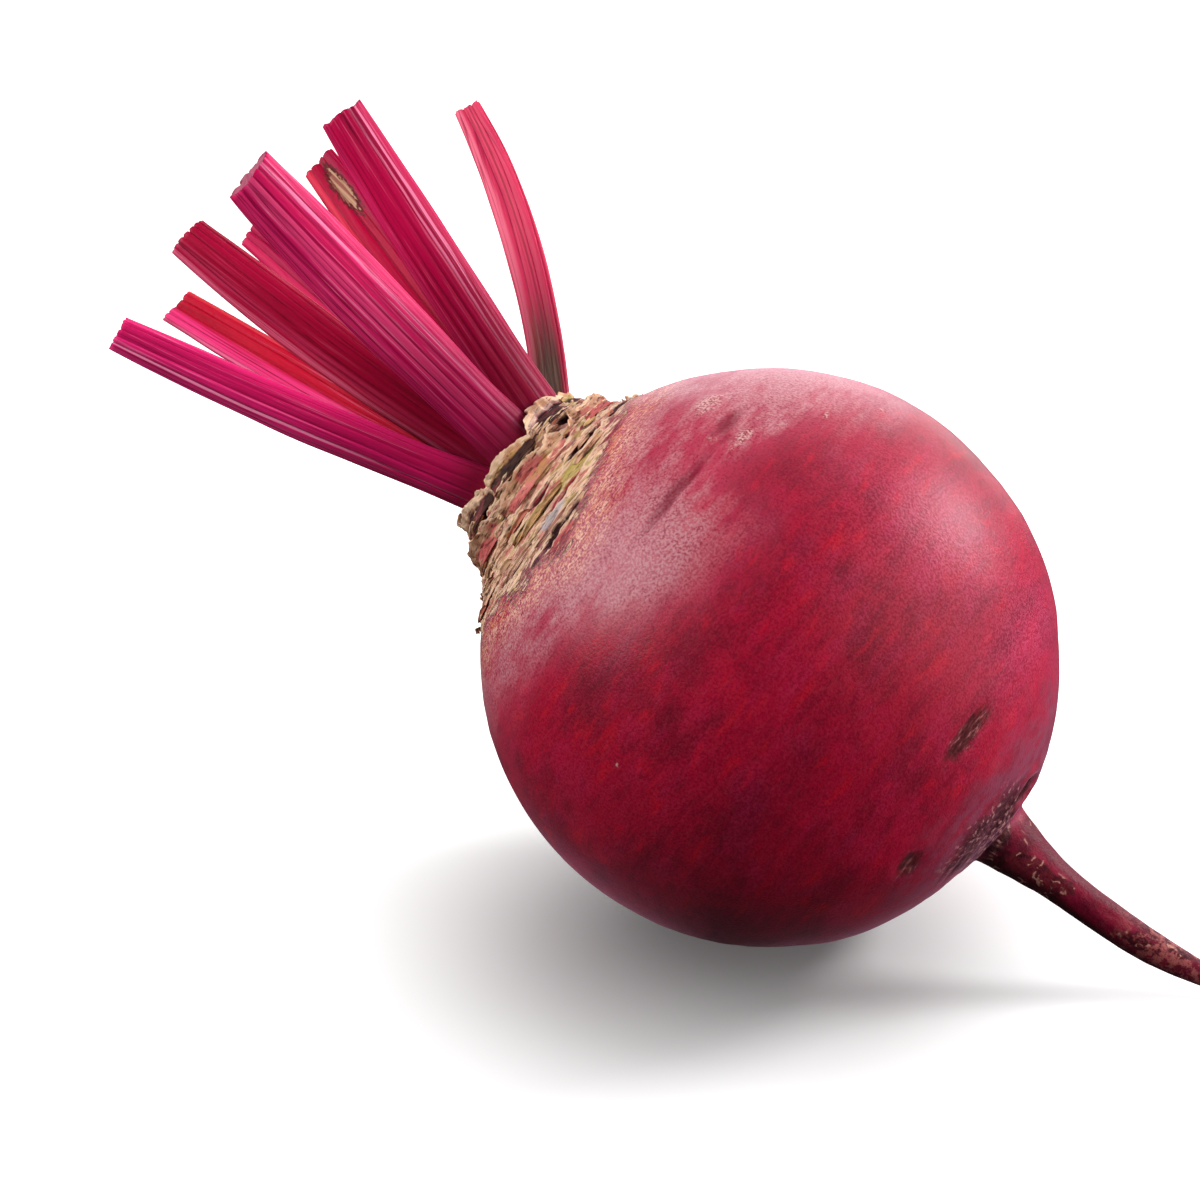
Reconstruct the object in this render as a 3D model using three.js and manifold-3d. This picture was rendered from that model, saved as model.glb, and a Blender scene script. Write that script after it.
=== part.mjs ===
// A whole beetroot lying on its side: a round bulb with a corky crown, the cut stalks of its leaves,
// the withered bases of older leaves around the crown, two small heart leaves in the middle of the
// crown, and a taproot that bends down to the floor.
//
// Millimetres, +Z up. The origin is the centre of the flat spot that the bulb rests on. The root's
// axis lies in the XZ plane: the taproot points along +X and down, and the crown along -X and up.

import * as THREE from 'three';
import { mergeVertices } from 'three/addons/utils/BufferGeometryUtils.js';
import Module from 'manifold-3d';

const wasm = await Module();
wasm.setup();

// ---- Driving dimensions ----

const BULB_RADIUS = 40;
const REST_DEPTH = 1; // how far the underside is pressed flat where the bulb rests
const AXIS_DIP = 31; // degrees below level, from the crown towards the taproot
const GAP = 0.4; // clearance between pieces that touch

// The crown, by height above the bulb's centre along the root's axis.
const NECK_FOOT = 35.2; // where the bulb's round side ends
const CAP_EDGE = { height: 43.8, radius: 11.3 };
const CAP_RISE = 1.9; // how far the cap bulges above its edge
const NECK = [[NECK_FOOT, 19], [37.6, 15.7], [41, 13.1], [CAP_EDGE.height, CAP_EDGE.radius]];

// The taproot: a route on from the axis, and its radius at each distance along it.
const BULB_FOOT = 39.6; // depth below the bulb's centre where its round side ends at the taproot
const TAPROOT_START = 37; // along the axis from the bulb's centre, still inside the bulb
const TAPROOT_ROUTE = [
  [40, 0, 14.3], [48.6, 0, 9.2], [57.6, 0, 4.9], [65.2, 0, 2.5],
  [75, 0.6, 1.3], [85, 2.8, 0.9], [96, 7, 0.6],
];
const TAPROOT_RADIUS = [
  [3.0, 4.8], [4.2, 4.45], [6.4, 4.0], [9, 3.4], [13, 2.8], [20, 2.5],
  [29, 2.2], [38, 1.5], [49, 1.05], [60, 0.7], [70.6, 0.4],
];

// Leaf stalks. Turns are degrees about the root's axis, counted from its upper side. A stalk leans
// towards `turn`, its outer face looks to the turn `face`, it starts at `baseTurn` and `out` from the
// axis, and `bend` is how much further out it leans at its tip.
const STALK_FOOT = 43; // height of a stalk's lowest section, before the cap trims it
const STALK_DATUM = 46; // height from which a stalk's length and place are counted
const STALKS = [
  { turn: -114, face: -96, baseTurn: -114, out: 7.4, lean: 20, bend: -5.5, length: 54, width: [6.6, 7.3, 5.7] },
  { turn: 154, face: 130, baseTurn: 158, out: 7, lean: 16.5, bend: -5, length: 57.2, width: [5.2, 6.2, 5.9] },
  { turn: -89, face: -64, baseTurn: -80, out: 4.2, lean: 9, bend: -13, length: 54.2, width: [5.4, 7.6, 6.4] },
  { turn: 107, face: 112, baseTurn: 118, out: 7, lean: 17, bend: -4, length: 56, width: [5, 6, 5.4] },
  { turn: -42, face: -54, baseTurn: -45, out: 8, lean: 21.5, bend: 11, length: 51.8, width: [6.8, 9.2, 7.8] },
  { turn: 74, face: 116, baseTurn: 82, out: 7, lean: 18.5, bend: 2, length: 54.8, width: [5.2, 6.8, 5.6] },
  { turn: 6, face: -50, baseTurn: 2, out: 8.3, lean: 20.3, bend: 2.8, length: 49.2, width: [6.6, 7.7, 6.5] },
  { turn: 56, face: 114, baseTurn: 48, out: 10.3, lean: 49, bend: -22, length: 49, width: [4.8, 5.6, 4.1] },
];
const STALK_THICKNESS = 0.6; // of its width
const STALK_GROOVE = 0.3; // depth of the inner face's groove, of the half thickness
const TRIM_ORDER = [5, 7, 1, 8, 3, 6, 4, 2]; // a stalk is trimmed by those before it

// Heart leaves: small folded leaves in the middle of the crown.
const HEART_LEAVES = [
  { turn: 40, face: 40, baseTurn: 60, out: 1.6, lean: 6, bend: 5, length: 15, width: [2.6, 2.8, 1.2] },
  { turn: 170, face: 170, baseTurn: 185, out: 2.2, lean: 5, bend: 8, length: 11, width: [2.4, 2.6, 1.1] },
];

// Withered leaf bases: crescent plates against the crown. One ring stands at the cap's rim and one
// lower down the neck. `turn` is the middle of a plate and `span` its half angle, in degrees.
const RIM_PLATES = {
  name: 'rim_leaf_base', foot: 42.6, top: 46.2, lean: 0.1, thickness: 1.1, span: 19,
  turns: [-151, -108, -62, -18, 26, 82, 126, 168],
};
const NECK_PLATES = {
  name: 'neck_leaf_base', foot: 38.4, top: 41.9, lean: 0.28, thickness: 1, span: 25,
  turns: [-118, -59, 2, 60, 122, 181],
};

// ---- Frames and small helpers ----

const radians = THREE.MathUtils.degToRad;
const dip = radians(AXIS_DIP);
const crownWay = new THREE.Vector3(-Math.cos(dip), 0, Math.sin(dip));
const upperSide = new THREE.Vector3(Math.sin(dip), 0, Math.cos(dip));
const farSide = new THREE.Vector3(0, 1, 0);
const bulbCentre = new THREE.Vector3(0, 0, BULB_RADIUS - REST_DEPTH);

// A value that goes smoothly through three given ones at s = 0, 1/2 and 1.
function throughThree([start, middle, end], s) {
  return start * (1 - s) * (1 - 2 * s) + 4 * middle * s * (1 - s) + end * s * (2 * s - 1);
}

// A closed skin over rings of points. Each ring runs anticlockwise seen from the last ring, and both
// ends close in a fan to the middle of their ring.
function loft(rings) {
  const sides = rings[0].length;
  const points = rings.flat();
  const faces = [];
  for (let ring = 0; ring + 1 < rings.length; ring += 1) {
    for (let side = 0; side < sides; side += 1) {
      const here = ring * sides + side;
      const next = ring * sides + (side + 1) % sides;
      faces.push(here, next, next + sides, here, next + sides, here + sides);
    }
  }
  const firstMiddle = points.length;
  const lastMiddle = firstMiddle + 1;
  const lastRing = (rings.length - 1) * sides;
  points.push(middleOf(rings[0]), middleOf(rings.at(-1)));
  for (let side = 0; side < sides; side += 1) {
    const next = (side + 1) % sides;
    faces.push(firstMiddle, next, side, lastMiddle, lastRing + side, lastRing + next);
  }
  const geometry = new THREE.BufferGeometry().setFromPoints(points);
  geometry.setIndex(faces);
  return geometry;
}

function middleOf(ring) {
  const sum = ring.reduce((total, point) => total.add(point), new THREE.Vector3());
  return sum.divideScalar(ring.length);
}

function toSolid(geometry) {
  const bare = geometry.clone();
  bare.deleteAttribute('normal');
  bare.deleteAttribute('uv');
  const merged = mergeVertices(bare);
  return new wasm.Manifold(new wasm.Mesh({
    numProp: 3,
    vertProperties: merged.attributes.position.array,
    triVerts: new Uint32Array(merged.index.array),
  }));
}

function toGeometry(solid) {
  const mesh = solid.getMesh();
  const geometry = new THREE.BufferGeometry();
  geometry.setAttribute('position', new THREE.BufferAttribute(mesh.vertProperties, 3));
  geometry.setIndex(new THREE.BufferAttribute(mesh.triVerts, 1));
  geometry.computeVertexNormals();
  return geometry;
}

function pieceOf(name, geometry, material) {
  const mesh = new THREE.Mesh(geometry, material);
  mesh.name = name;
  return mesh;
}

// ---- Materials ----

const rootSkin = new THREE.MeshStandardMaterial({ color: 0x7a1230, roughness: 0.5, metalness: 0 });
const stalkSkin = new THREE.MeshStandardMaterial({ color: 0x9c0f42, roughness: 0.35, metalness: 0 });
const heartSkin = new THREE.MeshStandardMaterial({ color: 0x6b1c2c, roughness: 0.45, metalness: 0 });
const driedLeaf = new THREE.MeshStandardMaterial({ color: 0xb58d5a, roughness: 0.85, metalness: 0 });

// ---- Root: bulb, crown and taproot, grown as one piece ----

const ROOT_SIDES = 36;

// Radius of the neck at a height above the bulb's centre.
const neckCurve = new THREE.SplineCurve(NECK.map(([height, radius]) => new THREE.Vector2(height, radius)));
const neckOutline = neckCurve.getPoints(12);

function neckRadius(height) {
  const above = neckOutline.findIndex((point) => point.x > height);
  if (above < 0) return CAP_EDGE.radius;
  const low = neckOutline[above - 1];
  const high = neckOutline[above];
  return THREE.MathUtils.mapLinear(height, low.x, high.x, low.y, high.y);
}

// The cap is part of a sphere through its edge and its top.
const capSphereRadius = (CAP_EDGE.radius ** 2 + CAP_RISE ** 2) / (2 * CAP_RISE);
const capSphereHeight = CAP_EDGE.height + CAP_RISE - capSphereRadius;

// Sections of the root on its straight axis, from the taproot's start up to the cap's top.
function axisSections() {
  const sections = [];
  const bulbStart = Math.acos(-BULB_FOOT / BULB_RADIUS);
  const bulbEnd = Math.acos(NECK_FOOT / BULB_RADIUS);
  const bulbSteps = 26;
  for (let step = 0; step < bulbSteps; step += 1) {
    const angle = THREE.MathUtils.lerp(bulbStart, bulbEnd, step / bulbSteps);
    sections.push({ height: BULB_RADIUS * Math.cos(angle), radius: BULB_RADIUS * Math.sin(angle) });
  }
  for (const point of neckCurve.getPoints(6)) {
    sections.push({ height: point.x, radius: point.y });
  }
  const capEdgeAngle = Math.asin(CAP_EDGE.radius / capSphereRadius);
  for (const part of [0.7, 0.4, 0.12]) {
    const angle = capEdgeAngle * part;
    sections.push({
      height: capSphereHeight + capSphereRadius * Math.cos(angle),
      radius: capSphereRadius * Math.sin(angle),
    });
  }
  return sections.map(({ height, radius }) => ({
    centre: bulbCentre.clone().addScaledVector(crownWay, height),
    way: crownWay,
    radius,
  }));
}

// Sections of the taproot along its bent route, from its tip up to the bulb.
function taprootSections() {
  const start = bulbCentre.clone().addScaledVector(crownWay, -TAPROOT_START);
  const before = bulbCentre.clone().addScaledVector(crownWay, -TAPROOT_START * 0.75);
  const stops = TAPROOT_ROUTE.map((point) => new THREE.Vector3(...point));
  const route = new THREE.CatmullRomCurve3([before, start, ...stops]);
  const routeLength = route.getLength();
  const lead = before.distanceTo(start);
  return TAPROOT_RADIUS.map(([distance, radius]) => {
    const along = Math.min((lead + distance) / routeLength, 1);
    return { centre: route.getPointAt(along), way: route.getTangentAt(along).negate(), radius };
  }).reverse();
}

// A round section across `way`, anticlockwise seen from its far end.
function roundSection({ centre, way, radius }) {
  const up = upperSide.clone().addScaledVector(way, -upperSide.dot(way)).normalize();
  const side = new THREE.Vector3().crossVectors(way, up);
  const ring = [];
  for (let step = 0; step < ROOT_SIDES; step += 1) {
    const angle = step / ROOT_SIDES * 2 * Math.PI;
    ring.push(centre.clone()
      .addScaledVector(up, radius * Math.cos(angle))
      .addScaledVector(side, radius * Math.sin(angle)));
  }
  return ring;
}

function makeRoot() {
  const whole = toSolid(loft([...taprootSections(), ...axisSections()].map(roundSection)));
  const floorSize = BULB_RADIUS * 6;
  const floor = new THREE.BoxGeometry(floorSize, floorSize, BULB_RADIUS);
  floor.translate(0, 0, -BULB_RADIUS / 2);
  return pieceOf('root', toGeometry(whole.subtract(toSolid(floor))), rootSkin);
}

// ---- Crown frame: +Z up the root's axis, +X on its upper side, from the bulb's centre ----

const crown = new THREE.Group();
crown.position.copy(bulbCentre);
crown.quaternion.setFromRotationMatrix(new THREE.Matrix4().makeBasis(upperSide, farSide, crownWay));

function outWay(turn) {
  return new THREE.Vector3(Math.cos(radians(turn)), Math.sin(radians(turn)), 0);
}

// The cap's sphere, larger by the clearance: it trims what stands on the cap.
const capTrim = toSolid(new THREE.SphereGeometry(capSphereRadius + GAP, 64, 48)
  .rotateX(Math.PI / 2).translate(0, 0, capSphereHeight));

// ---- Leaf stalks and heart leaves ----

const STALK_SIDES = 16;
const STALK_STEPS = 11;

// A section of a stalk: rounded on the outer face, and flatter with a shallow groove on the inner.
function stalkSection(centre, way, out, width, thickness) {
  const across = new THREE.Vector3().crossVectors(way, out);
  const ring = [];
  for (let step = 0; step < STALK_SIDES; step += 1) {
    const angle = step / STALK_SIDES * 2 * Math.PI;
    const inner = Math.max(-Math.cos(angle), 0);
    const depth = Math.cos(angle) + STALK_GROOVE * 2 * inner ** 3;
    ring.push(centre.clone()
      .addScaledVector(out, thickness / 2 * depth)
      .addScaledVector(across, width / 2 * Math.sin(angle)));
  }
  return ring;
}

// A stalk, grown by `grow` all round when it trims a neighbour.
function stalkSolid({ turn, face, baseTurn, out, lean, bend, length, width }, grow = 0) {
  const leanWay = outWay(turn);
  const up = new THREE.Vector3(0, 0, 1);
  const wayAt = (s) => {
    const angle = radians(lean + bend * s);
    return up.clone().multiplyScalar(Math.cos(angle)).addScaledVector(leanWay, Math.sin(angle));
  };
  const datum = outWay(baseTurn).multiplyScalar(out).setZ(STALK_DATUM);
  const footDrop = (STALK_DATUM - STALK_FOOT + grow) / wayAt(0).z;
  const centre = datum.addScaledVector(wayAt(0), -footDrop);
  const stepLength = (length + footDrop + grow) / STALK_STEPS;
  const rings = [];
  for (let step = 0; step <= STALK_STEPS; step += 1) {
    const s = Math.max((step * stepLength - footDrop) / length, 0);
    const way = wayAt(s);
    const outwards = leanWay.clone().addScaledVector(way, -leanWay.dot(way)).normalize()
      .applyAxisAngle(way, radians(face - turn));
    const wide = throughThree(width, Math.min(s, 1));
    rings.push(stalkSection(
      centre.clone(), way, outwards, wide + 2 * grow, wide * STALK_THICKNESS + 2 * grow,
    ));
    centre.addScaledVector(wayAt(s + stepLength / length / 2), stepLength);
  }
  return toSolid(loft(rings));
}

// Makes the stalks and heart leaves, each trimmed by the cap and by those made before it, and
// returns the space that they and their clearance take.
function makeStalks() {
  const taken = [];
  const trimmed = (stalk) => {
    const free = taken.reduce((solid, other) => solid.subtract(other), stalkSolid(stalk));
    taken.push(stalkSolid(stalk, GAP));
    return toGeometry(free.subtract(capTrim));
  };
  const stalks = new Map(TRIM_ORDER.map((number) => [number, trimmed(STALKS[number - 1])]));
  for (let number = 1; number <= STALKS.length; number += 1) {
    crown.add(pieceOf(`leaf_stalk_${number}`, stalks.get(number), stalkSkin));
  }
  HEART_LEAVES.forEach((leaf, index) => {
    crown.add(pieceOf(`heart_leaf_${index + 1}`, trimmed(leaf), heartSkin));
  });
  return taken.reduce((all, other) => all.add(other));
}

// ---- Withered leaf bases ----

const PLATE_STEPS = 8;

// One crescent plate. Its foot hugs the neck, and its tip stands free and leans out. Towards its two
// ends the plate gets thinner and lower.
function plateGeometry({ foot, top, lean, thickness, span }, turn) {
  const rings = [];
  for (let step = 0; step <= PLATE_STEPS; step += 1) {
    const across = step / PLATE_STEPS * 2 - 1;
    const fade = 1 - across ** 2;
    const out = outWay(turn - across * span);
    const tip = foot + (top - foot) * (0.45 + 0.55 * fade);
    const thick = thickness * (0.4 + 0.6 * fade);
    const middle = (foot + tip) / 2;
    const at = (height, rise, extra) => out.clone()
      .multiplyScalar(neckRadius(height) + GAP + extra + lean * rise).setZ(height + rise);
    rings.push([
      at(foot, 0, 0),
      at(foot, 0, thick * 0.6),
      at(middle, 0, thick),
      at(middle, tip - middle, thick * 0.8),
      at(middle, tip - middle, thick * 0.2),
      at(middle, 0, 0.05),
    ]);
  }
  return loft(rings);
}

function makePlates(set, trims) {
  set.turns.forEach((turn, index) => {
    const plate = toSolid(plateGeometry(set, turn)).subtract(trims);
    crown.add(pieceOf(`${set.name}_${index + 1}`, toGeometry(plate), driedLeaf));
  });
}

const stalkTrims = makeStalks();
makePlates(RIM_PLATES, stalkTrims);
makePlates(NECK_PLATES, stalkTrims);

const beetroot = new THREE.Group();
beetroot.name = 'beetroot';
beetroot.add(makeRoot(), crown);

export default beetroot;
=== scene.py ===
"""A whole beetroot lying on its side: bulb, corky crown, cut leaf stalks, withered leaf bases and taproot."""

import math
from itertools import product

import bpy
import numpy as np
from bpy.props import FloatProperty, FloatVectorProperty, PointerProperty
from mathutils import Matrix


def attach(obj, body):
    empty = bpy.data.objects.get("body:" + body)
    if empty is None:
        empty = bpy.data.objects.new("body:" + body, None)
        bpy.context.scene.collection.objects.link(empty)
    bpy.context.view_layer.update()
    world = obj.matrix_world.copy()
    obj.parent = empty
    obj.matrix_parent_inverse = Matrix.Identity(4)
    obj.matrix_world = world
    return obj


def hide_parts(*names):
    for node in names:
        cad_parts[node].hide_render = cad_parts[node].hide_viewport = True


bl_info = {
    "name": "Beetroot",
    "version": (1, 0, 0),
    "blender": (4, 5, 0),
    "location": "3D View > Sidebar > Beetroot",
    "description": "Builds a beetroot with its crown, leaf stalks and taproot, and a stage for it",
    "category": "Add Mesh",
}

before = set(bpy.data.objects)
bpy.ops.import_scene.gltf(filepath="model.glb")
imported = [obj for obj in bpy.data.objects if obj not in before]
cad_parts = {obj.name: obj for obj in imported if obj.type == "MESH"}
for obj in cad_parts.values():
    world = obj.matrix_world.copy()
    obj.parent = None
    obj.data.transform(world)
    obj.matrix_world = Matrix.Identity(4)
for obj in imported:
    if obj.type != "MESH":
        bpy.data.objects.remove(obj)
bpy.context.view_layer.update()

MM = 0.001

# ---- The root's own frame, and its outline ----

# Places on the root are given in its own frame: x up its upper side, y to its far side and z up its
# axis towards the crown, all from the bulb's centre. A turn is an angle about z, from x towards y.
BULB_RADIUS = 40 * MM
REST_DEPTH = 1 * MM  # how far the underside is pressed flat
AXIS_DIP = math.radians(31)  # below level, from the crown towards the taproot
BULB_CENTRE = np.array([0, 0, BULB_RADIUS - REST_DEPTH])
ROOT_AXES = np.array([
    (math.sin(AXIS_DIP), 0, math.cos(AXIS_DIP)),
    (0, 1, 0),
    (-math.cos(AXIS_DIP), 0, math.sin(AXIS_DIP)),
])

NECK = np.array([(35.2, 19), (37.6, 15.7), (41, 13.1), (43.8, 11.3)]) * MM  # height and radius
CAP_RISE = 1.9 * MM  # how far the cap bulges above the neck's end

TAPROOT_START = 37 * MM  # along the axis from the bulb's centre
TAPROOT_ROUTE = np.array([
    (40, 0, 14.3), (48.6, 0, 9.2), (57.6, 0, 4.9), (65.2, 0, 2.5),
    (75, 0.6, 1.3), (85, 2.8, 0.9), (96, 7, 0.6),
]) * MM
TAPROOT_RADIUS = np.array([
    (3.0, 4.8), (4.2, 4.45), (6.4, 4.0), (9, 3.4), (13, 2.8), (20, 2.5),
    (29, 2.2), (38, 1.5), (49, 1.05), (60, 0.7), (70.4, 0.35),
]) * MM  # distance from the start and radius


# ---- Numbers: curves, fades and noise on whole arrays ----

def smooth_through(x, keys, values):
    """A curve through the keys, of cubics. Its slope at a key comes from the keys on either side."""
    values = np.asarray(values, float)
    slopes = np.gradient(values, keys, axis=0)
    index = np.clip(np.searchsorted(keys, x, side="right") - 1, 0, len(keys) - 2)
    span = keys[index + 1] - keys[index]
    t = (x - keys[index]) / span
    if values.ndim > 1:
        t, span = t[..., None], span[..., None]
    return (
        (1 + 2 * t) * (1 - t) ** 2 * values[index] + t * (1 - t) ** 2 * span * slopes[index]
        + t ** 2 * (3 - 2 * t) * values[index + 1] + t ** 2 * (t - 1) * span * slopes[index + 1]
    )


def fade(low, high, x):
    """0 below low, 1 above high, and 3t^2 - 2t^3 between them. low may be the larger."""
    t = np.clip((x - low) / (high - low), 0, 1)
    return t * t * (3 - 2 * t)


def bell(x, middle=0, spread=1):
    """e to the power -t^2, where t is how many spreads x is from the middle."""
    return np.exp(-((x - middle) / spread) ** 2)


def unit(vectors):
    """Each vector divided by its length."""
    return vectors / np.linalg.norm(vectors, axis=-1, keepdims=True)


def stack(*parts):
    """Arrays of one shape after broadcasting, as the parts of vectors."""
    return np.stack(np.broadcast_arrays(*parts), axis=-1)


def distances_along(points):
    """How far each point is from the first, along the line through them."""
    return np.concatenate([[0], np.cumsum(np.linalg.norm(np.diff(points, axis=0), axis=1))])


def half_turned(degrees):
    """The same angles as numbers in -180..180."""
    return (degrees + 180) % 360 - 180


def rings(centres, *offsets):
    """Rings of places about centres. Each offset is a way at each centre and how far along it they are."""
    return centres[:, None] + sum(way[:, None] * distance[..., None] for way, distance in offsets)


def cell_value(cells, seed):
    """A fixed value in -1..1 for each whole-numbered cell, by mixing the bits of its numbers."""
    x, y, z = (cells[..., axis].astype(np.uint32) for axis in range(3))
    mixed = x * np.uint32(73856093) ^ y * np.uint32(19349663) ^ z * np.uint32(83492791)
    mixed = (mixed ^ np.uint32(seed * 7919 + 1)) * np.uint32(2654435769)
    mixed = (mixed ^ (mixed >> np.uint32(15))) * np.uint32(2246822519)
    mixed = mixed ^ (mixed >> np.uint32(13))
    return (mixed & np.uint32(0xFFFF)) / 0x7FFF - 1


def noise(points, size, seed=0):
    """Smooth noise in -1..1: the values of a cell's eight corners, blended by 6t^5 - 15t^4 + 10t^3."""
    scaled = points / size
    cells = np.floor(scaled).astype(np.int64)
    t = scaled - cells
    t = t ** 3 * (t * (t * 6 - 15) + 10)
    total = np.zeros(points.shape[:-1])
    for corner in product((0, 1), repeat=3):
        share = np.prod(np.where(np.array(corner), t, 1 - t), axis=-1)
        total += share * cell_value(cells + np.array(corner), seed)
    return total


def layered_noise(points, size, layers=4, seed=0):
    """Layers of noise, each half the size and about half the strength of the one before."""
    return sum(0.55 ** n * noise(points, size / 2 ** n, seed + n) for n in range(layers))


# ---- Meshes ----

MAP_FILL = 0.98  # share of its square that a skin fills in the map


def to_frame(places):
    """From the root's own frame to the part's frame."""
    return BULB_CENTRE + places @ ROOT_AXES


def above_floor(points):
    """Lifts what would be in the floor to just above it: z becomes (z + sqrt(z^2 + e^2)) / 2."""
    softness = 0.2 * MM
    lifted = points.copy()
    lifted[..., 2] = (points[..., 2] + np.sqrt(points[..., 2] ** 2 + softness ** 2)) / 2
    return lifted


def skin_mesh(name, grids, fields=None, flat=False):
    """Closed skins over grids[..., row, column]. Each row is a ring that joins up, anticlockwise seen
    from the last row. The end rings close on their middles, or when they are flat, each point with
    the one facing it across the ring. fields holds a number for each point, kept as an attribute.
    The map OFBake unrolls the skins, each in a square of its own."""
    grids = grids.reshape(-1, *grids.shape[-3:])
    count, rows, columns = grids.shape[:3]
    points = grids.reshape(count, rows * columns, 3)
    row, column = (part.ravel() for part in np.mgrid[0:rows - 1, 0:columns])
    ring = np.arange(columns)

    def corner(at_row, at_column):
        return at_row * columns + at_column % columns

    last = rows - 1
    patches = [([corner(row, column), corner(row, column + 1), corner(row + 1, column + 1),
                 corner(row + 1, column)],
                [column, column + 1, column + 1, column], [row, row, row + 1, row + 1])]
    if flat:
        quarter = columns // 4
        strips = (  # the near points of each kind of face, and which of them have their facing point in it
            (np.arange(1 - quarter, quarter - 1), (1, 0)), (np.array([-quarter]), (1,)),
            (np.array([quarter - 1]), (0,)),
        )
        for (end, beyond, order), (at, facing) in product(((0, -1, -1), (last, rows, 1)), strips):
            numbers = [corner(end, at), corner(end, at + 1)]
            numbers += [corner(end, columns // 2 - at - step) for step in facing]
            across = [at % columns + step for step in (0, 1, *facing)]
            along = [end, end] + [beyond] * len(facing)
            patches.append(tuple(part[::order] for part in (numbers, across, along)))
    else:
        points = np.concatenate([points, grids[:, [0, last]].mean(axis=2)], axis=1)
        middle = np.full(columns, rows * columns)
        patches += [
            ([middle, corner(0, ring + 1), corner(0, ring)], [ring + 0.5, ring + 1, ring], [-1, 0, 0]),
            ([middle + 1, corner(last, ring), corner(last, ring + 1)],
             [ring + 0.5, ring, ring + 1], [rows, last, last]),
        ]

    first_point = np.arange(count)[:, None, None] * points.shape[1]
    side = math.ceil(math.sqrt(count))
    cell = stack(np.arange(count) % side, np.arange(count) // side)[:, None, None, :]
    corners, sizes, places = [], [], []
    for numbers, across, along in patches:
        corners.append((np.stack(numbers, axis=-1) + first_point).reshape(count, -1))
        sizes.append(np.full((count, len(numbers[0])), len(numbers)))
        u = stack(*across) / columns
        v = (stack(*along, across[0])[..., :-1] + 1) / (rows + 1)
        places.append(((stack(u, v)[None] * MAP_FILL + cell) / side).reshape(count, -1, 2))
    corners = np.concatenate([part.ravel() for part in corners]).astype(np.int32)
    sizes = np.concatenate([part.ravel() for part in sizes])
    places = np.concatenate([part.reshape(-1, 2) for part in places]).astype(np.float32)

    mesh = bpy.data.meshes.new(name)
    mesh.vertices.add(count * points.shape[1])
    mesh.vertices.foreach_set("co", points.astype(np.float32).ravel())
    mesh.loops.add(len(corners))
    mesh.loops.foreach_set("vertex_index", corners)
    mesh.polygons.add(len(sizes))
    mesh.polygons.foreach_set("loop_start", (np.cumsum(sizes) - sizes).astype(np.int32))
    mesh.update(calc_edges=True)
    mesh.polygons.foreach_set("use_smooth", np.ones(len(sizes), bool))
    mesh.uv_layers.new(name="OFBake").data.foreach_set("uv", places.ravel())
    for label, values in (fields or {}).items():
        values = np.broadcast_to(values, (count, rows, columns))
        spread = values.reshape(count, -1)
        if not flat:
            spread = np.concatenate([spread, values[:, [0, last]].mean(axis=2)], axis=1)
        attribute = mesh.attributes.new(label, "FLOAT", "POINT")
        attribute.data.foreach_set("value", spread.astype(np.float32).ravel())
    if mesh.validate():
        raise RuntimeError(f"{name} has a face that isn't valid")
    return mesh


def add_piece(mesh, material, nodes=()):
    """Puts a finished mesh in the scene, at the origin, as a piece of the beetroot."""
    mesh.materials.append(material)
    piece = bpy.data.objects.new(mesh.name, mesh)
    bpy.context.scene.collection.objects.link(piece)
    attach(piece, "root")
    if nodes:
        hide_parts(*nodes)


# ---- Materials ----

class Value:
    """A socket in a material. Sums and products of values add Math nodes."""

    def __init__(self, surface, socket):
        self.surface = surface
        self.socket = socket

    def __add__(self, other):
        return self.surface.math("ADD", self, other)

    def __mul__(self, other):
        return self.surface.math("MULTIPLY", self, other)

    def __sub__(self, other):
        return self.surface.math("SUBTRACT", self, other)

    def __rsub__(self, other):
        return self.surface.math("SUBTRACT", other, self)

    def __abs__(self):
        return self.surface.math("ABSOLUTE", self)

    __radd__ = __add__
    __rmul__ = __mul__

    def fade(self, low, high):
        """0 below low, 1 above high and smooth between them. low may be the larger."""
        return self.surface.add(
            "ShaderNodeMapRange", {"interpolation_type": "SMOOTHSTEP"},
            {"Value": self, "From Min": low, "From Max": high},
        )

    def larger(self, other):
        return self.surface.math("MAXIMUM", self, other)

    def stir(self, noise, reach):
        """This value, moved by noise in 0..1 by up to half the reach either way."""
        return self + (noise - 0.5) * reach


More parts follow.
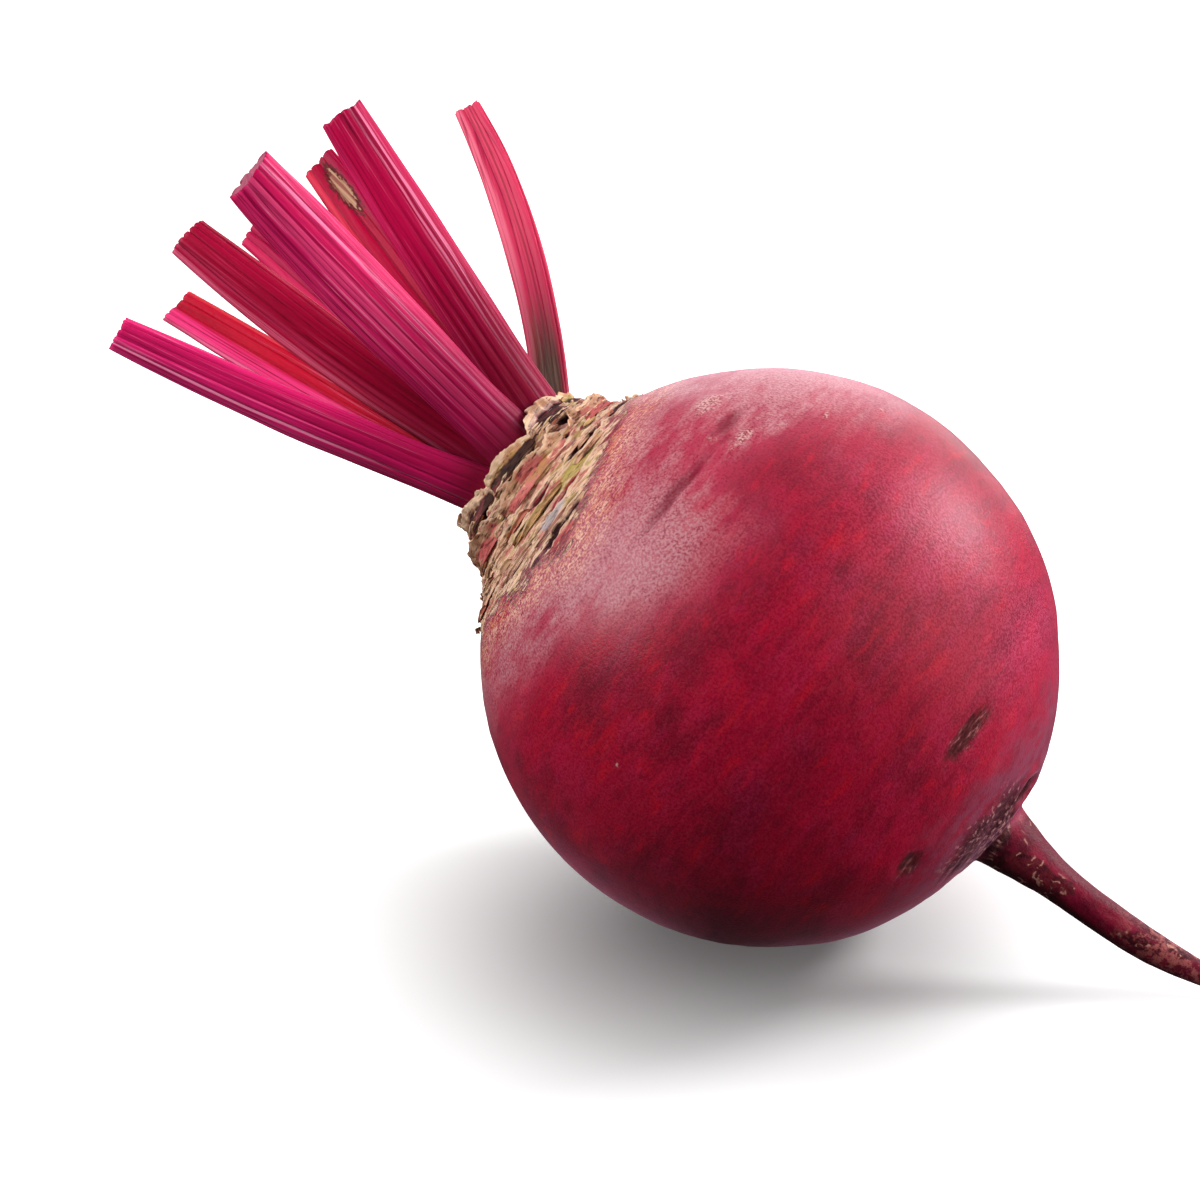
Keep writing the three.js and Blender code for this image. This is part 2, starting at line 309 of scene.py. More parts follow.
class Surface:
    """One material's nodes."""

    def __init__(self, name):
        self.material = bpy.data.materials.new(name)
        self.material.use_nodes = True
        self.tree = self.material.node_tree
        self.tree.nodes.clear()

    def add(self, kind, settings=None, inputs=None, output=0):
        """Adds a node, makes its settings, and then fills its sockets with numbers or links."""
        node = self.tree.nodes.new(kind)
        for name, setting in (settings or {}).items():
            setattr(node, name, setting)
        for key, value in (inputs or {}).items():
            if isinstance(value, Value):
                self.tree.links.new(value.socket, node.inputs[key])
            else:
                node.inputs[key].default_value = value
        return Value(self, node.outputs[output]) if node.outputs else None

    def math(self, operation, *values):
        return self.add("ShaderNodeMath", {"operation": operation}, dict(enumerate(values)))

    def field(self, name):
        """A number kept on the mesh."""
        return self.add("ShaderNodeAttribute", {"attribute_name": name}, output="Fac")

    def place(self, *stretch):
        """Places in the root's own frame, divided by how far a pattern on them is to stretch each way."""
        coordinates = self.add("ShaderNodeTexCoord", output="Object")
        return self.add("ShaderNodeMapping", {"vector_type": "TEXTURE"}, {
            "Vector": coordinates, "Location": BULB_CENTRE,
            "Rotation": (0, AXIS_DIP - math.pi / 2, 0), "Scale": stretch or (1, 1, 1),
        })

    def unrolled(self, across=1, along=1, shift=0):
        """Places across and along a stalk or scale, from its mesh, divided by the two stretches."""
        return self.add("ShaderNodeCombineXYZ", None, {
            "X": self.field("across") * (1 / across), "Y": self.field("along") * (1 / along), "Z": shift,
        })

    def noise(self, vector, size, detail=3, roughness=0.55, distortion=0):
        """Noise in 0..1 whose largest lumps are about `size` across."""
        return self.add("ShaderNodeTexNoise", None, {
            "Vector": vector, "Scale": 1 / size, "Detail": detail,
            "Roughness": roughness, "Distortion": distortion,
        })

    def mix(self, factor, first, second):
        """Colours: `first` where factor is 0 and `second` where it is 1."""
        first, second = (c if isinstance(c, Value) else (*c, 1) for c in (first, second))
        return self.add("ShaderNodeMix", {"data_type": "RGBA"}, {0: factor, 6: first, 7: second}, output=2)

    def paint(self, colour, *coats):
        """A colour under coats. Each coat is a factor and the colour that shows where it is 1."""
        for factor, coat in coats:
            colour = self.mix(factor, colour, coat)
        return colour

    def bump(self, height, distance, normal=None):
        """A normal for relief that stands `distance` high where height is 1."""
        inputs = {"Height": height, "Distance": distance, "Strength": 1}
        if normal:
            inputs["Normal"] = normal
        return self.add("ShaderNodeBump", None, inputs)

    def finish(self, **sockets):
        """Closes the material with one Principled shader; socket names are written with underscores."""
        shader = self.add("ShaderNodeBsdfPrincipled", None,
                          {name.replace("_", " "): value for name, value in sockets.items()})
        self.add("ShaderNodeOutputMaterial", None, {"Surface": shader})
        return self.material


# ---- Settings ----

def length(name, description, millimetres):
    return FloatProperty(name=name, description=description, default=millimetres * MM,
                         unit="LENGTH", precision=5)


def colour(name, description, default):
    return FloatVectorProperty(
        name=name, description=description, default=default, subtype="COLOR", size=3, min=0, max=1)


def angle(name, description, degrees):
    return FloatProperty(name=name, description=description, default=math.radians(degrees),
                         subtype="ANGLE", unit="ROTATION")


def power(name, description, watts):
    return FloatProperty(name=name, description=description, default=watts, unit="POWER")


class BeetrootRootSettings(bpy.types.PropertyGroup):
    """Relief and colours of the bulb, crown and taproot."""
    unevenness: length("Unevenness", "How far the bulb's side strays from a true round", 0.32)
    scar_depth: length("Scar depth", "Depth of the old leaf scars round the crown", 0.5)
    scar_lip: length("Scar lip", "Height of the lips of the old leaf scars", 0.28)
    wrinkle_depth: length("Wrinkle depth", "Depth of the wrinkles where the taproot leaves the bulb", 0.16)
    red: colour("Red", "Crimson of the skin", (0.325, 0.0022, 0.024))
    maroon: colour("Maroon", "Dark blotches of the skin", (0.17, 0.0022, 0.016))
    scarlet: colour("Scarlet", "Short bright strokes in the skin", (0.49, 0.0022, 0.015))
    # Partly a painted highlight: this film colour lies where light falls, up the upper side near the crown.
    bloom_and_highlight: colour("Bloom", "Dusty pink film on the skin near the crown", (0.47, 0.20, 0.225))
    tan: colour("Tan", "Cork of the crown", (0.56, 0.275, 0.155))
    cream: colour("Cream", "Pale cork on the edges of the leaf scars", (0.92, 0.62, 0.43))
    ochre: colour("Ochre", "Yellow-green cork", (0.46, 0.34, 0.07))
    scar_red: colour("Scar red", "Red inside the fresher leaf scars", (0.40, 0.02, 0.045))
    # Painted shade: this colour darkens the crown's hollows, its pits and its empty leaf scars.
    hollow: colour("Hollow", "Dark of the crown's pockets and of the scars", (0.035, 0.006, 0.008))


class BeetrootLeafSettings(bpy.types.PropertyGroup):
    """Sizes and colours of the stalks and of the withered leaf bases."""
    groove_depth: length("Groove depth", "Depth of the grooves between a stalk's ridges", 0.28)
    cut_raggedness: length("Cut raggedness", "How uneven the cut ends of the stalks are", 0.35)
    scale_thickness: length("Scale thickness", "Thickness of a withered leaf base", 0.8)
    pith: colour("Pith", "Cut ends of the stalks", (0.62, 0.20, 0.28))
    dry: colour("Dry", "Withered leaf bases", (0.56, 0.28, 0.16))
    dry_edge: colour("Dry edge", "Bleached edges of the withered leaf bases", (0.92, 0.63, 0.43))
    dry_red: colour("Dry red", "Red that is left in the withered leaf bases", (0.42, 0.012, 0.045))


class BeetrootStageSettings(bpy.types.PropertyGroup):
    """Camera and lights."""
    azimuth: angle("Azimuth", "Turn of the camera round the beetroot", 23)
    elevation: angle("Elevation", "Height of the camera above level", 23)
    distance: length("Distance", "From the camera to the plane through the bulb's centre", 460.56)
    lens: FloatProperty(name="Lens", description="Focal length in millimetres", default=100,
                        subtype="DISTANCE_CAMERA")
    key_power: power("Key light", "Power of the large light at the crown's side", 3.1)
    side_power: power("Side light", "Power of the light behind the taproot", 2.7)
    back_power: power("Back light", "Power of the wide light behind and above", 2.4)
    top_power: power("Top fill", "Power of the wide soft light overhead", 1.35)
    right_power: power("Right fill", "Power of the wide soft light at the taproot's side", 2.4)
    front_power: power("Front fill", "Power of the wide soft light at the camera's right", 2.3)
    surroundings: FloatProperty(name="Surroundings", description="Strength of the even light all round",
                                default=0.05, min=0)


# ---- Root ----

ROOT_ROWS = 276
ROOT_COLUMNS = 352
OUTLINE_STEP = 0.1 * MM
OUTLINE_BLUR = 3  # steps to each side over which the outline is averaged
LEVEL_BLUR = 3  # places to each side over which the surroundings are averaged

# Edge of the crown's cork: turn, and angle from the crown's top at the bulb's centre, in degrees.
CORK_EDGE = np.array([
    (-180, 35), (-150, 37), (-110, 36), (-92, 38), (-82, 40), (-70, 43), (-55, 42), (-45, 38),
    (-33, 33), (-15, 29.5), (5, 28.5), (40, 31), (80, 33), (120, 36), (150, 34), (180, 35),
])

CORK_BORDER = 8  # degrees from where the cork begins to where it is whole
HOLLOW_DEPTH = 0.4 * MM  # what is this far below its surroundings gets painted shade

# Height, and how far apart the rows of the root's skin are there.
ROW_SPACING = np.array([
    (-109, 0.6), (-104, 0.95), (-50, 0.9), (-44, 0.40), (-39, 0.33), (-37, 0.42), (-32, 0.86),
    (26, 0.86), (31, 0.26), (43.6, 0.25), (45, 0.6), (45.8, 0.9),
]) * MM

# Marks in the skin: turn in degrees, height above the bulb's centre, half length round the root, half
# width and depth, in millimetres. What stands proud has a depth below 0.
DENTS = [
    (-43.5, -28.4, 5.0, 1.5, 0.35), (-85, -32.1, 2.5, 1.5, 0.42), (-24, -38.6, 3.4, 1.9, 1.3),
    (128, -27.5, 3.6, 1.2, 0.35), (64, 12, 2.0, 0.8, 0.25), (-165, -24, 2.4, 1.0, 0.4),
    (-12, 41.7, 1.7, 0.8, 1.4), (-40, 42.1, 1.6, 0.9, 1.7), (-102, 42.8, 1.3, 1.5, 1.6),
    (-61, 30.9, 2.2, 0.6, 0.9), (-57, 31.9, 1.4, 0.4, 0.7), (-88, 37.4, 1.5, 0.5, 0.8),
    (60, 41.5, 1.8, 0.8, 1.2), (110, 39.5, 1.6, 0.6, 1.0), (160, 42, 1.7, 0.9, 1.4),
]
CREASES = [
    (-43, 20.4, 6.6, 0.85, 0.45), (-21, 21.4, 3.0, 1.1, 0.45), (-64, 12.4, 6.0, 0.25, 0.16),
    (-25, 19.6, 2.6, 0.3, 0.3), (30, 25, 7.0, 0.25, 0.2), (105, 18, 8.0, 0.28, 0.22),
    (-160, 8, 9.0, 0.25, 0.18),
]
SCABS = [
    (-15, 25.6, 3.2, 1.7, -0.16), (-27, 21.2, 1.3, 0.9, -0.14), (-24, 18.4, 2.7, 0.9, -0.12),
    (-8, 11.9, 0.8, 0.5, -0.08), (-65, 33.0, 1.5, 1.0, -0.2), (95, 22, 2.6, 1.6, -0.14),
    (4, 6.5, 0.7, 0.5, -0.08), (-95, 5, 0.6, 0.5, -0.06), (170, -5, 1.8, 1.0, -0.1),
]
PIT_DEPTH = 0.5 * MM  # a deeper dent gets painted shade inside
FAR = 3.0  # half sizes from a mark's middle, where nothing of it shows

# Stains, in the same way, but with a strength in place of the depth. The first two are in the skin and
# the others in the crown's cork. The film of the first is partly a painted highlight; the rose of the
# second is a painted highlight and sheen on the bulb's lit right side.
STAINS_AND_HIGHLIGHTS = {
    "filmy": [(-60, 17, 9, 6.5, 1.2), (-72, 25, 9, 4, 0.9), (-100, 27, 10, 3, 0.6), (-3, 20, 14, 5, 1),
              (110, 24, 14, 6, 1), (-150, 26, 12, 5, 1), (-27, 13, 9, 7, -1.6), (-90, 13, 12, 6, -2.0)],
    "rosy": [(-13, -9, 12, 11, 1), (-6, -27, 14, 7, 0.8)],
    "olive": [(-48, 34.8, 5.0, 2.0, 1.2), (-12, 38.6, 2.5, 1.2, 1), (-80, 33.2, 2.6, 1.0, 1),
              (100, 36, 3, 1.3, 1)],
    "silver": [(-66, 32.9, 2.8, 1.3, 1.2), (-68, 42.6, 1.8, 0.6, 1), (-70, 40.4, 1.6, 0.6, 1),
               (40, 35, 2.5, 1.0, 1)],
    "amber": [(-54, 29.8, 3.2, 2.0, 1.2), (-28, 32.6, 2.2, 1.0, 1), (150, 34, 3, 1.2, 1)],
    "ruddy": [(-57, 40.2, 3.4, 1.1, 1), (-64, 35.4, 4.0, 0.9, 1.1), (-68, 29.2, 4.2, 1.8, 1),
              (-30, 39.2, 3, 0.7, 1), (-100, 42.4, 3, 0.8, 1), (150, 38, 3, 1.2, 1)],
}

SWELLING = (-94, -34.4, 0.9)  # turn, height and rise of the bulb's fuller side beside the taproot
SWELLING_SPREAD = 17  # degrees

SCAR_ROW_TURN = 137.5  # degrees from one row of old leaf scars to the next
# Rows of old leaf scars round the crown: height above the bulb's centre, how many, and half width.
CROWN_SCAR_ROWS = [
    (43.3, 8, 0.8), (41.3, 8, 0.95), (38.9, 10, 0.95), (36.5, 11, 0.95), (33.6, 12, 0.9), (30.4, 15, 0.8),
]


def root_outline():
    """Height along the root's line and radius, from the taproot's tip to the middle of the crown's cap.
    The taproot and neck are smooth curves through their keys, the bulb is an arc about its centre and
    the cap is an arc that rises CAP_RISE. Every corner is rounded by averaging over 0.6 mm of the line."""
    distance = np.linspace(TAPROOT_RADIUS[-1, 0], TAPROOT_RADIUS[0, 0], 300)
    taproot = stack(-TAPROOT_START - distance,
                    smooth_through(distance, TAPROOT_RADIUS[:, 0], TAPROOT_RADIUS[:, 1]))
    angle = np.radians(np.linspace(173, 0, 1000))
    bulb = BULB_RADIUS * stack(np.cos(angle), np.sin(angle))
    bulb = bulb[bulb[:, 0] < NECK[0, 0]]
    height = np.linspace(NECK[0, 0], NECK[-1, 0], 100)
    neck = stack(height, smooth_through(height, NECK[:, 0], NECK[:, 1]))
    edge_height, edge_radius = NECK[-1]
    cap_radius = (edge_radius ** 2 + CAP_RISE ** 2) / (2 * CAP_RISE)
    angle = np.linspace(math.asin(edge_radius / cap_radius), 0.01, 60)
    cap = stack(edge_height + CAP_RISE - cap_radius * (1 - np.cos(angle)), cap_radius * np.sin(angle))
    line = np.concatenate([taproot, bulb, neck, cap])

    along = distances_along(line)
    even = np.arange(0, along[-1], OUTLINE_STEP)
    window = np.full(2 * OUTLINE_BLUR + 1, 1 / (2 * OUTLINE_BLUR + 1))
    padded = (np.pad(np.interp(even, along, part), OUTLINE_BLUR, mode="edge") for part in line.T)
    return stack(*(np.convolve(part, window, "valid") for part in padded))


def root_rows():
    """The outline at ROOT_ROWS places, close together on the crown and where the taproot starts."""
    outline = root_outline()
    steps = np.diff(distances_along(outline)) / np.interp(outline[1:, 0], *ROW_SPACING.T)
    share = np.concatenate([[0], np.cumsum(steps)])
    at = np.linspace(0, share[-1], ROOT_ROWS)
    return stack(*(np.interp(at, share, part) for part in outline.T))


def root_line(height):
    """Centres of the root's rings and the two ways across each. Above the taproot's start the line is
    straight; below it, it follows the route, and the rings stay square to it."""
    start = TAPROOT_START * 0.75
    way_down = -ROOT_AXES[2]
    ends = [BULB_CENTRE + way_down * distance for distance in (start, TAPROOT_START)]
    stops = np.concatenate([ends, TAPROOT_ROUTE])
    keys = distances_along(stops)
    line = smooth_through(np.linspace(0, keys[-1], 800), keys, stops)
    along = start + distances_along(line)
    bent = stack(*(np.interp(-height, along, part) for part in line.T))
    straight = BULB_CENTRE + height[:, None] * ROOT_AXES[2]
    centres = np.where(height[:, None] < -start, bent, straight)
    way = unit(np.gradient(centres, axis=0))
    up = unit(ROOT_AXES[0] - (way @ ROOT_AXES[0])[:, None] * way)
    return centres, up, np.cross(way, up)


def mark_distances(places, outline, marks):
    """For each mark, how far every place is from its middle, counted in half lengths round the root and
    in half widths across, and the mark's depth."""
    turn = np.arctan2(places[..., 1], places[..., 0])
    radius = np.hypot(places[..., 0], places[..., 1])
    for at_turn, at_height, half_length, half_width, depth in marks:
        at_radius = np.interp(at_height * MM, *outline.T)
        around = ((turn - math.radians(at_turn) + np.pi) % (2 * np.pi) - np.pi) * at_radius
        aside = np.hypot(places[..., 2] - at_height * MM, radius - at_radius)
        yield np.hypot(around / (half_length * MM), aside / (half_width * MM)), depth * MM


def patch_strength(places, outline, marks):
    """How strongly these marks show at every place: each is its strength in its middle and fades outwards."""
    return sum(bell(distance) * strength / MM
               for distance, strength in mark_distances(places, outline, marks))


def crown_scars(places, height, along):
    """How far every place is from the middle of its old leaf scar, counted in the scar's half size, and a
    fixed number in 0..1 for each scar. The scars stand in rows round the crown. At a from -1 to 1 round
    it, a scar's half width is (1 - 0.6 a^2) of that in its middle, so it is pointed at both ends."""
    turn = np.degrees(np.arctan2(places[..., 1], places[..., 0]))
    turn = turn + 7 * noise(places, 4 * MM, 8) + 2.5 * noise(places, 1.3 * MM, 9)
    shifted = along[:, None] + 0.6 * MM * noise(places, 3.4 * MM, 4) + 0.22 * MM * noise(places, 0.9 * MM, 5)
    nearest = np.full(turn.shape, FAR)
    fill = np.zeros(turn.shape)
    for row, (row_height, count, half_width) in enumerate(CROWN_SCAR_ROWS):
        share = (turn + row * SCAR_ROW_TURN) / 360 * count
        cell = np.floor(share)
        chance = [cell_value(stack(cell % count, row, 0), seed) for seed in (51, 52, 53)]
        around = ((share - cell) * 2 - 1) * (1.05 + 0.18 * chance[0])
        middle = np.interp(row_height * MM, height, along) + 0.35 * MM * chance[1]
        half = half_width * MM * (1 - 0.6 * np.clip(around, -1, 1) ** 2) * (1 + 0.2 * chance[0])
        distance = np.hypot(around, (shifted - middle) / half)
        fill = np.where(distance < nearest, chance[2] * 0.5 + 0.5, fill)
        nearest = np.minimum(nearest, distance)
    return nearest, fill


def bulb_relief(straight, radius, unevenness):
    """Low lumps of three sizes, and the bulb's fuller side beside the taproot."""
    thick = fade(3 * MM, 30 * MM, radius)[:, None]
    relief = unevenness * thick * (
        noise(straight, 23 * MM, 1) + 0.35 * noise(straight, 9 * MM, 2)
        + 0.12 * noise(straight * (1, 1, 2.5), 4 * MM, 3))
    relief -= 0.1 * MM * thick  # keeps the highest lumps at the true radius
    turn, at_height, rise = math.radians(SWELLING[0]), SWELLING[1] * MM, SWELLING[2] * MM
    at_radius = math.sqrt(BULB_RADIUS ** 2 - at_height ** 2)
    fullest = np.array([at_radius * math.cos(turn), at_radius * math.sin(turn), at_height])
    apart = np.degrees(np.arccos(np.clip(unit(straight) @ unit(fullest), -1, 1)))
    return relief + rise * bell(apart, 0, SWELLING_SPREAD) * fade(8 * MM, 14 * MM, radius)[:, None]


def crown_relief(straight, height, corky, scar_distance, scar_fill, settings):
    """The lips and hollows of old leaf scars, and flaking layers of cork."""
    return corky * fade(46 * MM, 44.5 * MM, height)[:, None] * (
        settings.scar_lip * (bell(scar_distance, 1.05, 0.3) - 0.3)
        - settings.scar_depth * fade(0.95, 0.45, scar_distance) * (0.55 + 0.45 * fade(0.8, 0.2, scar_fill))
        + 0.24 * MM * layered_noise(straight * (0.4, 0.4, 3.0), 1.7 * MM, 4, 7)
    )


def taproot_relief(turn, height, radius, along, degrees, wrinkle_depth):
    """Wrinkles round where the taproot starts, mostly on its lower side, then shallow folds along it. Also
    the numbers for its finish."""
    height, radius = height[:, None], radius[:, None]

    def round_it(wide, tall, lengths=height):
        return stack(wide * np.cos(turn), wide * np.sin(turn), lengths / tall)

    lower = bell(degrees, -68, 36)
    joint = round_it(1.7, 1.1 * MM, along[:, None])
    fold = noise(joint, 1, 21) + 0.5 * noise(joint * 2, 1, 22)
    wrinkled = bell(height, -38.9 * MM, 3 * MM) * (0.2 + 0.8 * lower)
    rough = (bell(height, -46 * MM, 5 * MM) * lower
             + bell(height, -63 * MM, 6 * MM) * bell(degrees, -50, 50))
    relief = wrinkle_depth * wrinkled * 1.5 * fold + fade(-40.5 * MM, -44 * MM, height) * radius * (
        0.014 * noise(round_it(1.4, 1.1 * MM), 1, 23)
        + 0.03 * noise(round_it(1, 16 * MM), 0.45, 24)
        + 0.03 * noise(round_it(0.5, 9 * MM), 1, 25))
    return relief, {"lower": lower, "fold": fold, "wrinkled": wrinkled, "rough": rough}


def marks_relief(straight, wander, outline):
    """Dents with low lips, creases, and scabs that stand a little proud. Also how far every place is from
    the nearest of each kind; a deep dent is a pit."""
    uneven = 1 + 0.6 * noise(straight, 0.9 * MM, 34)
    kinds = {
        "mark": (DENTS, lambda distance: 0.22 * bell(distance, 1.5, 0.45) - bell(distance * 1.05)),
        "crease": (CREASES, lambda distance: -bell(distance * 1.1)),
        "scab": (SCABS, lambda distance: -fade(1.3, 0.7, distance) * uneven),
    }
    relief = 0
    nearest = {name: np.full(uneven.shape, FAR) for name in (*kinds, "pit")}
    for name, (marks, profile) in kinds.items():
        for distance, depth in mark_distances(wander, outline, marks):
            relief = relief + depth * profile(distance)
            for near in (name, "pit") if depth > PIT_DEPTH else (name,):
                nearest[near] = np.minimum(nearest[near], distance)
    return relief, nearest


def root_grid(settings):
    """Places of the root's skin and the numbers its finish needs. The smooth root is a ring about each
    centre; the relief then moves each place along its normal."""
    outline = root_rows()
    height, radius = outline.T
    along = distances_along(outline)
    turn = np.arange(ROOT_COLUMNS) / ROOT_COLUMNS * 2 * np.pi
    centres, up, side = root_line(height)
    straight = stack(radius[:, None] * np.cos(turn), radius[:, None] * np.sin(turn), height[:, None])
    smooth = rings(centres, (up, straight[..., 0]), (side, straight[..., 1]))
    around = np.roll(smooth, -1, axis=1) - np.roll(smooth, 1, axis=1)
    normal = unit(np.cross(around, np.gradient(smooth, axis=0)))

    degrees = half_turned(np.degrees(turn))
    from_top = np.degrees(np.arctan2(radius, height))[:, None]
    ragged = 2.2 * noise(straight, 5 * MM, 11) + 1.2 * noise(straight, 1.6 * MM, 12)
    cork = np.clip((np.interp(degrees, *CORK_EDGE.T) + ragged - from_top) / CORK_BORDER + 0.5, -1, 2)
    scar_distance, scar_fill = crown_scars(straight, height, along)
    wander = straight + 0.35 * MM * stack(*(noise(straight, 1.7 * MM, seed) for seed in (31, 32, 33)))
    on_taproot, taproot_fields = taproot_relief(turn, height, radius, along, degrees, settings.wrinkle_depth)
    of_marks, nearest_marks = marks_relief(straight, wander, outline)
    relief = (bulb_relief(straight, radius, settings.unevenness)
              + crown_relief(straight, height, fade(0.45, 1.1, cork), scar_distance, scar_fill, settings)
              + on_taproot + of_marks)

    # How far each place is below its surroundings, for the painted shade in the crown's hollows
    level = relief
    shifts = range(-LEVEL_BLUR, LEVEL_BLUR + 1)
    for axis in (0, 1):
        level = sum(np.roll(level, shift, axis=axis) for shift in shifts) / len(shifts)
    hollow = np.clip((level - relief) / HOLLOW_DEPTH, -1, 1) * fade(30 * MM, 33 * MM, height)[:, None]

    fields = {name: patch_strength(wander, outline, marks) for name, marks in STAINS_AND_HIGHLIGHTS.items()}
    fields |= taproot_fields | nearest_marks | {
        "cork": cork, "hollow": hollow, "height": height[:, None] / MM,
        "leaf_scar": scar_distance, "scar_fill": scar_fill,
        # Where the film thickens, towards the crown and up the upper side: partly a painted highlight.
        "dusty": (height[:, None] + 0.3 * straight[..., 0]) / MM + 6 * fields["filmy"],
    }
    return above_floor(smooth + normal * relief[..., None]), fields


# Colours of the root that only its finish needs.
DARK_STROKE, DARK_SPECK, DUST = (0.11, 0.0022, 0.014), (0.12, 0.0022, 0.014), (0.46, 0.008, 0.055)
# The rose is a painted highlight and sheen, and the thin film partly a painted highlight.
HAZE, ROSE_HIGHLIGHT = (0.42, 0.014, 0.080), (0.48, 0.080, 0.165)
THIN_FILM_AND_HIGHLIGHT, FILM_GAP = (0.42, 0.045, 0.090), (0.15, 0.010, 0.025)
TAIL_RED, TAIL_MAROON, TAIL_SHADE = (0.23, 0.005, 0.030), (0.115, 0.004, 0.018), (0.055, 0.003, 0.012)
ROUGH_DARK, ROUGH_RED = (0.030, 0.004, 0.008), (0.13, 0.012, 0.020)
TAIL_FLECK, TAIL_CURL = (0.42, 0.115, 0.105), (0.50, 0.22, 0.17)
# The joint's mauve is partly a painted sheen.
JOINT_PURPLE_AND_SHEEN, JOINT_ARC = (0.225, 0.045, 0.085), (0.42, 0.20, 0.19)
# The fold colour is painted shade in the low parts of the folds.
WRINKLE_DARK, WRINKLE_BROWN, FOLD_SHADE = (0.016, 0.004, 0.006), (0.10, 0.030, 0.032), (0.05, 0.004, 0.012)
HEALED_DARK, HEALED_BROWN, HEALED_STREAK = (0.022, 0.005, 0.006), (0.105, 0.026, 0.026), (0.40, 0.15, 0.15)
# The crease red is painted shade in the creases.
CREASE_SHADE_RED, SCAB_PALE, SCAB_DARK = (0.15, 0.003, 0.018), (0.60, 0.38, 0.34), (0.13, 0.03, 0.035)
CORK_PINK, CORK_GAP, CORK_ORANGE = (0.60, 0.13, 0.125), (0.10, 0.026, 0.018), (0.66, 0.26, 0.12)
SCAR_PINK, SCAR_BROWN = (0.54, 0.22, 0.18), (0.30, 0.17, 0.06)
STAIN_COLOURS = {"olive": (0.43, 0.34, 0.06), "silver": (0.56, 0.50, 0.53), "amber": (0.66, 0.38, 0.15),
                 "ruddy": (0.50, 0.030, 0.060)}


